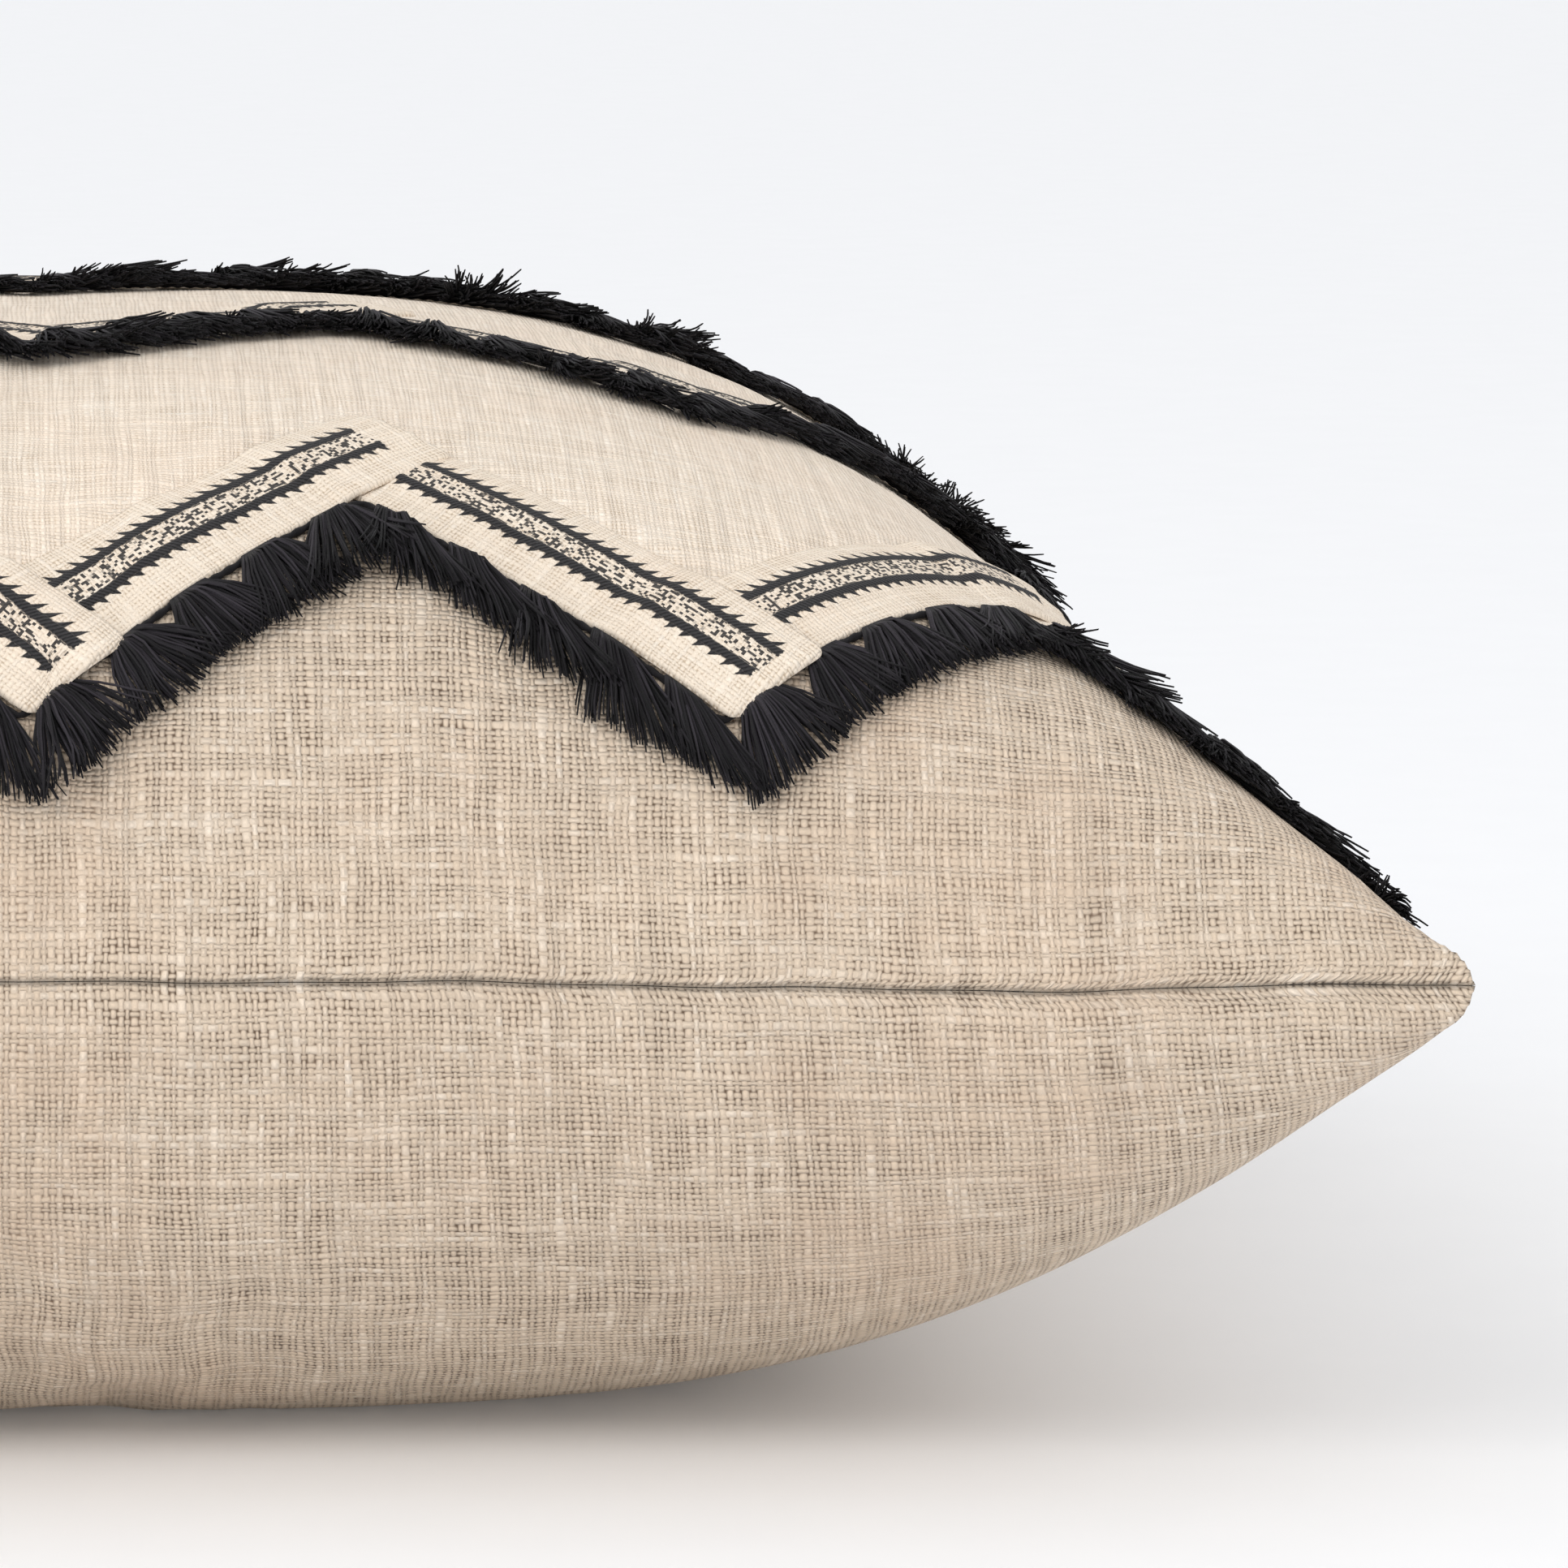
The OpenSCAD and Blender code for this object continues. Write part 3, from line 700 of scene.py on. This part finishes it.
def metal_material():
    g = Graph("zip_metal")
    where = g.place()
    wear = g.noise(where, 350, 4, 0.65)
    x, y, z = g.apart(where)
    brushed = g.noise(g.join(g.times(x, 400), g.times(y, 4000), g.times(z, 4000)), 1, 3, 0.6)
    colour = g.mix(g.step(wear, 0.4, 0.7), linear(122, 104, 78), linear(186, 168, 132))
    rough = g.plus(g.blend([(wear, 0.3), (brushed, 0.25)]), 0.12)
    return g.finish(colour, g.blend([(wear, 0.4), (brushed, 1.0)]), 0.04 * MM, rough, Metallic=1.0)


def satin_material():
    g = Graph("label_satin")
    x, y = g.coords("cloth")
    thread = g.math("SINE", g.times(x, TAU / (0.3 * MM)))
    fibre = g.noise(g.join(g.times(x, 3000), g.times(y, 400)), 1, 2, 0.6)
    colour = g.mix(g.step(thread, -0.6, 0.6), linear(226, 224, 220), linear(250, 249, 246))
    rough = g.plus(0.35, g.times(fibre, 0.2))
    return g.finish(colour, g.blend([(thread, 0.6), (fibre, 0.6)]), 0.05 * MM, rough, Sheen_Weight=0.2)


zip_tape_cloth = zip_tape_material()
zip_coil_nylon = coil_material()
zip_metal = metal_material()
label_satin = satin_material()

# ---------------------------------------------------------------- cover

MESH_STEP = 0.012
MESH_MAIN = 0.972
SEAM_RINGS = [0.981, 0.988, 0.9935, 0.997, 0.999, 1.0]
inner_t = np.linspace(-MESH_MAIN, MESH_MAIN, int(round(2 * MESH_MAIN / MESH_STEP)) + 1)
cover_t = np.concatenate([-np.array(SEAM_RINGS[::-1]), inner_t, SEAM_RINGS])
cover_v, cover_u = np.meshgrid(cover_t, cover_t, indexing="ij")


def along_threads(surface, axis):
    """Place along the threads of one direction: even along the cloth, and the flat size at the seams."""
    rows = np.moveaxis(surface, axis, 0)
    steps = np.linalg.norm(np.diff(rows, axis=0), axis=-1)
    run = np.concatenate([np.zeros((1, rows.shape[1])), np.cumsum(steps, axis=0)])
    middle = run[len(run) // 2]
    run = run - middle
    half = np.where(run < 0, -run[0], run[-1])
    return np.moveaxis(run / half * FLAT_HALF, 0, axis)


def cover_panel(name, top, node):
    outside = cover_surface(cover_u, cover_v, top)
    inside = cover_surface(cover_u, cover_v, top, CLOTH, CLOTH)
    points, faces, surface = closed_sheet(outside, inside) if top else closed_sheet(inside, outside)
    # The cloth keeps its thread count, so its map follows the surface and not the even grid.
    flat = np.stack([along_threads(outside, 1), along_threads(outside, 0)], -1)
    return piece(name, points, faces, natural_weave, [node],
                 {"cloth": np.concatenate([flat, flat])}, surface)


cover_front = cover_panel("cover_front", True, "front_panel")
cover_back = cover_panel("cover_back", False, "back_panel")

# ---------------------------------------------------------------- overlay

OVERLAY_REST = 0.35 * MM
OVERLAY_CLOTH = 0.8 * MM
OVERLAY_LIMIT = 0.99 * FLAT_HALF
OVERLAY_COLUMNS = LEGS * 26
OVERLAY_ROWS = 150
HEM_RISE = 0.45 * MM
HEM_AWAY = 4.5 * MM
HEM_WIDTH = 1.6 * MM


def zigzag(x):
    """0 at the lower points of a row and 1 at its upper corners."""
    return 1 - np.abs(np.mod(np.abs(x) / LEG_RUN, 2) - 1)


def row_edge(row, x):
    """Lower edge of a row of tape, in flat cloth coordinates."""
    return FIRST_ROW + (row - 1) * ROW_PITCH + ZIGZAG * zigzag(x) - FLAT_HALF


def hem(x, y):
    """Ridge of the folded cloth above each row of tape."""
    total = np.zeros_like(x)
    for row in ROWS:
        away = (y - row_edge(row, x) - TAPE_RISE) * LEG_COS
        total += HEM_RISE * np.exp(-(((away - HEM_AWAY) / HEM_WIDTH) ** 2))
    return total


s, t = np.meshgrid(np.linspace(-1, 1, OVERLAY_COLUMNS + 1), np.linspace(0, 1, OVERLAY_ROWS + 1))
overlay_x = s * OVERLAY_LIMIT
start = row_edge(1, overlay_x) + TAPE_RISE / 2
overlay_y = start + (OVERLAY_LIMIT - start) * t
ridge = hem(overlay_x, overlay_y)
face = lay(overlay_x, overlay_y, OVERLAY_REST + OVERLAY_CLOTH + ridge)
back = lay(overlay_x, overlay_y, OVERLAY_REST + ridge)
points, faces, surface = closed_sheet(face, back)
overlay_uv = np.stack([overlay_x, overlay_y], -1)
overlay = piece("overlay", points, faces, cream_weave, ["overlay_panel"],
                {"cloth": np.concatenate([overlay_uv, overlay_uv])}, surface)

# ---------------------------------------------------------------- tape

TAPE_REST = 1.2 * MM
LOW_REST = 0.35 * MM
TAPE_THICK = 0.85 * MM
TAPE_LIFT = 1.35 * MM
TAPE_STEPS = 100
TAPE_ACROSS = 48
LIFT_RUN = 7 * MM
FOLD = 0.7 * MM
TIP_ROUND = 3 * MM
SLANT = 1 / math.tan(2 * LEG_ANGLE)
OVERLAP = TAPE_WIDTH / math.sin(2 * LEG_ANGLE)
RISING_MARGIN = 8.5 * MM
FALLING_MARGIN = 4 * MM
TIP_OVER = 2.5 * MM


def tape_relief(t):
    """Thickness of the tape across its width, with its two raised lines."""
    off = np.abs(t - BAND_MIDDLE)
    middle = (SPECKLE_HALF + LINE_END) / 2
    line = np.exp(-(((off - middle) / (1.0 * MM)) ** 4))
    band = smooth(off, TEETH_END + 0.4 * MM, TEETH_END - 0.4 * MM)
    return TAPE_THICK + 0.28 * MM * line + 0.1 * MM * band


def tape_leg(row, leg):
    """One strip of a row, from lower point to upper corner or back, as a face and a back grid."""
    rising = leg % 2 == 0
    sign = 1 if rising else -1
    x0 = -FLAT_HALF + leg * LEG_RUN
    y0 = row_edge(row, np.array(x0))
    t = np.linspace(0, TAPE_WIDTH, TAPE_ACROSS + 1)
    # Each strip starts under the one before it and ends over the one after it.
    begin = OVERLAP * 0.5 - sign * SLANT * t if rising else -OVERLAP * 0.5 - sign * SLANT * t
    edge = LEG_LENGTH - sign * SLANT * t
    end = edge + OVERLAP if rising else edge + TIP_OVER
    from_side = np.maximum(np.abs(t - TAPE_WIDTH / 2) - TAPE_WIDTH / 2 + TIP_ROUND, 0) / TIP_ROUND
    end = end - TIP_ROUND * (1 - np.sqrt(np.maximum(1 - from_side ** 2, 0)))
    if leg == 0:
        begin = (FLAT_HALF - TRIM_LIMIT + t * LEG_SIN) / LEG_COS
    if leg == LEGS - 1:
        end = (TRIM_LIMIT - x0 - t * LEG_SIN) / LEG_COS
    k = np.linspace(0, 1, TAPE_STEPS + 1)
    s = begin[:, None] + (end - begin)[:, None] * k[None]
    t = np.broadcast_to(t[:, None], s.shape)
    x = x0 + s * LEG_COS - sign * t * LEG_SIN
    y = np.minimum(y0 + sign * s * LEG_SIN + t * LEG_COS, TRIM_LIMIT)
    under = (edge if rising else edge - OVERLAP)[:, None]
    over = np.zeros_like(s) if leg == LEGS - 1 else smooth(s, under - LIFT_RUN, under)
    rest = np.full_like(s, TAPE_REST)
    if row == 1:
        rest = LOW_REST + (TAPE_REST - LOW_REST) * smooth(t, 5 * MM, 13 * MM)
    rest = rest + TAPE_LIFT * over
    to_edge = np.minimum(t, TAPE_WIDTH - t)
    if leg < LEGS - 1:
        to_edge = np.minimum(to_edge, end[:, None] - s)
    fold = np.sqrt(np.maximum(1 - (1 - np.clip(to_edge / FOLD, 0, 1)) ** 2, 0))
    # The upper edge is beaten thin and hardly shows.
    thick = 0.1 * MM + tape_relief(t) * fold * (1 - 0.8 * smooth(t, TAPE_WIDTH - 4.5 * MM, TAPE_WIDTH))
    uv = np.stack([sign * (s + leg * LEG_LENGTH), t], -1)
    margin = np.stack([t, end[:, None] - s - (RISING_MARGIN if rising else FALLING_MARGIN)], -1)
    return lay(x, y, rest + thick), lay(x, y, rest), uv, margin


def tape_row(row):
    points, faces, walls, uvs, margins = [], [], [], [], []
    count = 0
    for leg in range(LEGS):
        face, back, uv, margin = tape_leg(row, leg)
        p, f, surface = closed_sheet(face, back)
        points.append(p)
        faces.append(f[:surface] + count)
        walls.append(f[surface:] + count)
        uvs += [uv.reshape(-1, 2)] * 2
        margins += [margin.reshape(-1, 2)] * 2
        count += len(p)
    shown = sum(len(f) for f in faces)
    return piece(f"tape_row_{row}", np.concatenate(points), np.concatenate(faces + walls), patterned_tape,
                 [f"zigzag_tape_{row}"],
                 {"tape": np.concatenate(uvs), "tape_end": np.concatenate(margins)}, shown)


tape_rows = [tape_row(row) for row in ROWS]

# ---------------------------------------------------------------- fringe

CORD_RADIUS = 0.62 * MM
CORD_DROP = 1.0 * MM
CORD_PITCH = 3.2 * MM
CORD_POINTS = 1100
CORD_SIDES = 8
TASSELS = 40
STRANDS = 120
CLUMPS = 16
STRAND_POINTS = 7
STRAND_SIDES = 3
STRAND_RADIUS = 0.27 * MM
TASSEL_LENGTH = 16.5 * MM
ROOT_HALF = 3 * MM
SPREAD = 3.6 * MM
OPENING = 7 * MM
FALLING_SHARE = 0.6
FAN = math.radians(12)
CLING = 0.45
STRAND_WAVE = 0.35 * MM
TASSEL_DEPTH = (2.8, 4.8)
CURL = (0.5, 6)
TASSEL_LIMIT = FLAT_HALF + 10 * MM
CORNER_KEEP = 16 * MM
# Lean and length of the tassels from a lower point (0) by the upper corner (1) to the next one (2).
LEG_PLACES = (0, 0.3, 0.65, 0.95, 1.2, 1.7, 2)
LEAN_DEGREES = (30, 46, 42, 22, 15, 16, 22)
LONGER = (1, 1, 1, 1.2, 1.3, 1.25, 1.05)


def frames_along(centres, above):
    """Sideways and upward directions along rows of points, from points a little above them."""
    run = np.gradient(centres, axis=1)
    up = above - centres
    side = np.cross(run, up)
    side /= np.maximum(np.linalg.norm(side, axis=-1, keepdims=True), 1e-12)
    up = np.cross(side, run)
    up /= np.maximum(np.linalg.norm(up, axis=-1, keepdims=True), 1e-12)
    return side, up


def low_rest(row):
    """Height of the cloth that a row's fringe lies on."""
    return 0.1 * MM if row == 1 else OVERLAY_REST + OVERLAY_CLOTH + 0.1 * MM


def fringe_cord(row):
    x = np.linspace(-TRIM_LIMIT, TRIM_LIMIT, CORD_POINTS)
    y = row_edge(row, x)
    kernel = np.hanning(11) / np.hanning(11).sum()
    y = np.convolve(np.pad(y, 5, mode="edge"), kernel, "valid") - CORD_DROP
    height = np.full_like(x, low_rest(row) + CORD_RADIUS * 1.2)
    centres = lay(x, y, height)[None]
    side, up = frames_along(centres, lay(x, y, height + 1 * MM)[None])
    length = np.concatenate([[0], np.cumsum(np.linalg.norm(np.diff(centres[0], axis=0), axis=1))])
    turn = TAU * np.arange(CORD_SIDES) / CORD_SIDES
    twist = np.cos(2 * turn[None] - TAU * length[:, None] / CORD_PITCH)
    ring, walls, ends = tubes(centres, side, up, (CORD_RADIUS * (1 + 0.2 * twist))[None], CORD_SIDES)
    along = np.repeat(length, CORD_SIDES)
    number = np.tile(np.arange(CORD_SIDES) % 3 * 0.13 + 0.05, CORD_POINTS)
    return piece(f"fringe_cord_{row}", ring, [walls, *ends], black_cotton,
                 [f"fringe_header_{row}"], {"strand": np.stack([number, along], -1)})


def tassel_row(row):
    place = (2 * np.arange(TASSELS) + 1) / TASSELS - 1
    x0 = (place * FLAT_HALF)[:, None] + rng.normal(0, 0.35 * MM, (TASSELS, 1))
    # They sweep to the right, most of all on the legs that rise that way.
    phase = np.mod(x0 / LEG_RUN, 2)
    lean = np.interp(phase, LEG_PLACES, LEAN_DEGREES)
    lean = np.radians(lean + rng.normal(0, 5, (TASSELS, 1)))
    # Strands are spread evenly over the fan, and cling together in small clumps.
    order = rng.permuted(np.tile(np.arange(STRANDS), (TASSELS, 1)), axis=1)
    offset = (order + rng.uniform(0.2, 0.8, order.shape)) / STRANDS * 2 - 1
    clump = np.floor((offset + 1) / 2 * CLUMPS).astype(int)
    pull = (clump + 0.5) / CLUMPS * 2 - 1 - offset
    angle = lean + (offset + CLING * pull) * FAN + rng.normal(0, math.radians(2.2), offset.shape)
    length = TASSEL_LENGTH * (1 + rng.normal(0, 0.03, offset.shape)) * (1 - 0.06 * offset ** 2)
    length = length * np.interp(phase, LEG_PLACES, LONGER) + rng.normal(0, 0.5 * MM, (TASSELS, 1))
    bend = rng.normal(0, 0.08, offset.shape) + rng.normal(-0.2, 0.12, (TASSELS, 1))
    # Whole clumps curl up together, in some tassels more than in others.
    proud = rng.uniform(0, 1, (TASSELS, CLUMPS)) ** 2 * rng.uniform(*CURL, (TASSELS, 1)) * MM
    lift = np.take_along_axis(proud, clump, 1) + rng.uniform(0, 0.8, offset.shape) * MM
    layer = rng.uniform(0, 1, offset.shape) * (1 - 0.6 * offset ** 2)
    layer = layer * rng.uniform(*TASSEL_DEPTH, (TASSELS, 1)) * MM
    k = np.linspace(0, 1, STRAND_POINTS)[None, None]
    run = k * length[..., None]
    heading = angle[..., None] + bend[..., None] * k
    # A tassel opens out below the cord, and its strands then run nearly side by side.
    opened = offset[..., None] * SPREAD * smooth(run, 0, OPENING)
    opened = opened * np.where(phase < 1, 1, FALLING_SHARE)[..., None]
    uphill = np.where(phase < 1, 1, -1)[..., None] * LEG_SIN
    wavy = STRAND_WAVE * k * np.sin(5 * k + rng.uniform(0, TAU, offset.shape)[..., None])
    across = offset[..., None] * ROOT_HALF + np.sin(heading) * run + opened * LEG_COS + wavy
    x = x0[..., None] + across
    root_y = row_edge(row, x0 + offset * ROOT_HALF)[..., None] - CORD_DROP + 0.5 * MM
    y = root_y - np.cos(heading) * run + opened * uphill
    # By the front corners the strands stay on the cover.
    limit = TASSEL_LIMIT - CORNER_KEEP * smooth(-y, FLAT_HALF - 54 * MM, FLAT_HALF - 40 * MM)
    x = np.clip(x, -limit, limit)
    over_cord = 2.2 * CORD_RADIUS * np.exp(-((run / (2.6 * MM)) ** 2))
    height = low_rest(row) + STRAND_RADIUS * 1.1 + over_cord + layer[..., None] * smooth(run, 0, 4 * MM)
    height = height + lift[..., None] * k ** 2 - layer[..., None] * 0.35 * k ** 3
    # Strands that pass the side seam stick out beyond it.
    height = height + 0.8 * np.maximum(np.abs(x) - FLAT_HALF + 4 * MM, 0)
    whole, shape = (TASSELS, STRANDS, STRAND_POINTS), (TASSELS * STRANDS, STRAND_POINTS)
    x, y, height = (np.broadcast_to(a, whole).reshape(shape) for a in (x, y, height))
    centres = lay(x, y, height)
    side, up = frames_along(centres, lay(x, y, height + 1 * MM))
    # Stiff yarn runs straighter than the cloth that it lies on.
    base = lay(x, y, np.zeros_like(x))
    straight = base[:, :1] + (base[:, 1:2] - base[:, :1]) * (STRAND_POINTS - 1) * k[0, ..., None]
    centres = centres + (straight - base) * rng.uniform(0.3, 1, (shape[0], 1, 1))
    taper = 1 - 0.35 * np.broadcast_to(k, whole).reshape(shape) ** 3
    ring, walls, ends = tubes(centres, side, up, STRAND_RADIUS * taper, STRAND_SIDES)
    number = np.repeat(rng.uniform(0, 1, shape[0]), STRAND_POINTS * STRAND_SIDES)
    along = np.repeat(np.broadcast_to(run, whole).reshape(-1), STRAND_SIDES)
    return piece(f"tassel_row_{row}", ring, [walls, *ends], black_cotton,
                 [f"tassels_{row}"], {"strand": np.stack([number, along], -1)})


fringe_cords = [fringe_cord(row) for row in ROWS]
tassel_rows = [tassel_row(row) for row in ROWS]

# ---------------------------------------------------------------- insert, fill and label

INSERT_INSET = 16 * MM
INSERT_REST = 3.6 * MM
INSERT_CLOTH = 0.8 * MM
FILL_REST = 0.9 * MM
insert_t = np.linspace(-1, 1, 91)
insert_v, insert_u = np.meshgrid(insert_t, insert_t, indexing="ij")
insert_flat = np.stack([insert_u, insert_v], -1) * (FLAT_HALF - INSERT_INSET)
insert_uv = np.concatenate([insert_flat, insert_flat])


def inner_layer(top, depth, lumps=0.0):
    inset = INSERT_INSET + depth
    surface = cover_surface(insert_u, insert_v, top, inset, INSERT_REST + depth, fine=False)
    bumps = sum(
        np.sin(f * insert_u + p) * np.sin(g * insert_v + q)
        for f, g, p, q in ((9, 11, 1.0, 0.4), (17, 14, 2.1, 1.7), (27, 31, 0.3, 2.9))
    )
    away = np.minimum(1 - np.abs(insert_u), 1 - np.abs(insert_v))
    surface[..., 2] -= (1 if top else -1) * lumps * (bumps + 3) * smooth(away, 0, 0.2)
    return surface


points, faces, surface = closed_sheet(inner_layer(True, 0), inner_layer(True, INSERT_CLOTH))
insert_top = piece("insert_top", points, faces, insert_cloth, ["insert_top_panel"],
                   {"cloth": insert_uv}, surface)
points, faces, surface = closed_sheet(inner_layer(False, INSERT_CLOTH), inner_layer(False, 0))
insert_bottom = piece("insert_bottom", points, faces, insert_cloth, ["insert_bottom_panel"],
                      {"cloth": insert_uv}, surface)
depth = INSERT_CLOTH + FILL_REST
points, faces, surface = closed_sheet(inner_layer(True, depth, 0.8 * MM), inner_layer(False, depth, 0.8 * MM))
fibre_filling = piece("fibre_filling", points, faces, fibre_white, ["fibre_fill"],
                      {"cloth": insert_uv}, surface)

low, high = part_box("care_label")
label_rows = 24
label_fold = np.linspace(0, 2, 41)
across, along = np.meshgrid(label_fold, np.linspace(low.y, high.y, label_rows + 1))
reach = 1 - np.abs(across - 1)
bulge = np.sqrt(np.maximum(reach * (1 - reach) * 4, 0)) * 0.35 * MM + 0.12 * MM
wavy = 0.5 * MM * np.sin(along * 140) * (1 - reach) * 0.3
middle_z = (low.z + high.z) / 2
half_z = np.where(across < 1, 1, -1) * bulge * np.where(np.abs(across - 1) < 1e-9, 0, 1)
label_face = np.stack([low.x + reach * (high.x - low.x), along, middle_z + half_z + wavy], -1)
label_in = np.sign(1 - across) * 0.09 * MM
label_back = label_face.copy()
label_back[..., 2] -= label_in
label_back[..., 0] -= np.exp(-(((across - 1) / 0.05) ** 2)) * 0.2 * MM
points, faces, surface = closed_sheet(label_face, label_back)
label_uv = np.stack([across * (high.x - low.x), along], -1)
blank_label = piece("blank_label", points, faces, label_satin, ["care_label"],
                    {"cloth": np.concatenate([label_uv, label_uv])}, surface)

# ---------------------------------------------------------------- zip

ZIP_SIDE = HALF - ZIP_DRAW
ZIP_HALF = 170 * MM
ZIP_IN = 6.4 * MM
ZIP_TAPE_LOW = 2.35 * MM
ZIP_TAPE_WIDTH = 7.4 * MM
COIL_MIDDLE = 1.4 * MM
COIL_DEEP = 0.85 * MM
COIL_HIGH = 0.55 * MM
COIL_WIRE = 0.33 * MM
COIL_PITCH = 2.4 * MM
COIL_TURNS = 134
COIL_TURN_POINTS = 14


def zip_tape(name, side, node):
    """One of the two woven tapes, standing on edge behind the lips, with a bead along each edge."""
    x, t = np.meshgrid(np.linspace(-ZIP_HALF, ZIP_HALF, 241), np.linspace(0, 1, 19)[::side])
    bead = np.exp(-((t / 0.06) ** 2)) + np.exp(-(((1 - t) / 0.06) ** 2))
    half = (0.2 + 0.07 * bead) * MM
    z = SEAM_Z + side * (ZIP_TAPE_LOW + ZIP_TAPE_WIDTH * t)
    y = ZIP_SIDE - ZIP_IN + 0.06 * MM * np.sin(x * 90 + side) * t
    points, faces, surface = closed_sheet(np.stack([x, y - half, z], -1), np.stack([x, y + half, z], -1))
    return piece(name, points, faces, zip_tape_cloth, [node], None, surface)


def zip_coil(name, side, node):
    """One of the two nylon coils, wound along the edge of its tape."""
    count = COIL_TURNS * COIL_TURN_POINTS + 1
    turn = TAU * np.arange(count) / COIL_TURN_POINTS
    x = COIL_PITCH * (turn / (TAU) - COIL_TURNS / 2)
    y = ZIP_SIDE - ZIP_IN + COIL_DEEP * np.cos(turn)
    z = SEAM_Z + side * (COIL_MIDDLE + COIL_HIGH * np.sin(turn))
    centres = np.stack([x, y, z], -1)[None]
    across, up = frames_along(centres, centres + np.array([1 * MM, 0, 0]))
    ring, walls, ends = tubes(centres, across, up, np.full((1, count), COIL_WIRE), 6)
    return piece(name, ring, [walls, *ends], zip_coil_nylon, [node])


upper_zip, lower_zip = (
    [zip_tape(f"woven_zip_tape_{end}", side, f"zip_tape_{end}"),
     zip_coil(f"nylon_coil_{end}", side, f"zip_coil_{end}")]
    for end, side in (("upper", 1), ("lower", -1)))

for name in ("zip_top_stop", "zip_bottom_stop", "zip_slider", "zip_pull"):
    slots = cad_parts[name].data.materials
    slots.clear()
    slots.append(zip_metal)

# ---------------------------------------------------------------- floor, light and camera

floor_mesh = bpy.data.meshes.new("floor")
floor_size = 14
floor_mesh.from_pydata(
    [(-floor_size, -floor_size, 0), (floor_size, -floor_size, 0), (floor_size, floor_size, 0),
     (-floor_size, floor_size, 0)], [], [(0, 1, 2, 3)])
floor = bpy.data.objects.new("floor", floor_mesh)
floor.location.z = -0.0002
scene.collection.objects.link(floor)
paper = Graph("floor_paper")
paper_grain = paper.noise(paper.place(), 40, 2)
floor_mesh.materials.append(paper.finish(
    paper.mix(paper_grain, linear(243, 244, 246), linear(246, 247, 249)), paper_grain, 0.01 * MM, 0.9,
    Emission_Color=(1.0, 1.0, 1.0, 1.0), Emission_Strength=0.05))


def area_light(name, place, target, size, power, colour):
    data = bpy.data.lights.new(name, "AREA")
    data.shape = "SQUARE"
    data.size = size
    data.energy = power
    data.color = colour
    light = bpy.data.objects.new(name, data)
    light.location = place
    light.rotation_mode = "QUATERNION"
    light.rotation_quaternion = (Vector(target) - Vector(place)).to_track_quat("-Z", "Y")
    scene.collection.objects.link(light)


MIDDLE = (0, 0, SEAM_Z)
area_light("key", (-1.0, -1.5, 1.35), MIDDLE, 1.0, 12.5, (1.0, 0.985, 0.96))
area_light("low_front", (0.2, -2.6, 0.25), MIDDLE, 0.9, 7, (1.0, 0.99, 0.98))

world = bpy.data.worlds.new("studio")
world.use_nodes = True
sky = world.node_tree.nodes["Background"]
sky.inputs[0].default_value = (0.985, 0.99, 1.0, 1.0)
sky.inputs[1].default_value = 0.93
scene.world = world
scene.view_settings.view_transform = "Standard"

CAMERA_PLACE = (0, -1.735, 0.319)
CAMERA_TILT = math.radians(5.4)
AIM_RIGHT = 0.0846
AIM_DOWN = 0.0331
aim = Vector((AIM_RIGHT, math.cos(CAMERA_TILT) - AIM_DOWN * math.sin(CAMERA_TILT),
              -math.sin(CAMERA_TILT) - AIM_DOWN * math.cos(CAMERA_TILT)))
camera_data = bpy.data.cameras.new("camera")
camera_data.lens = 208.1
camera_data.sensor_width = 36
camera_data.clip_end = 40
camera = bpy.data.objects.new("camera", camera_data)
camera.location = CAMERA_PLACE
camera.rotation_mode = "QUATERNION"
camera.rotation_quaternion = aim.to_track_quat("-Z", "Y")
scene.collection.objects.link(camera)
scene.camera = camera
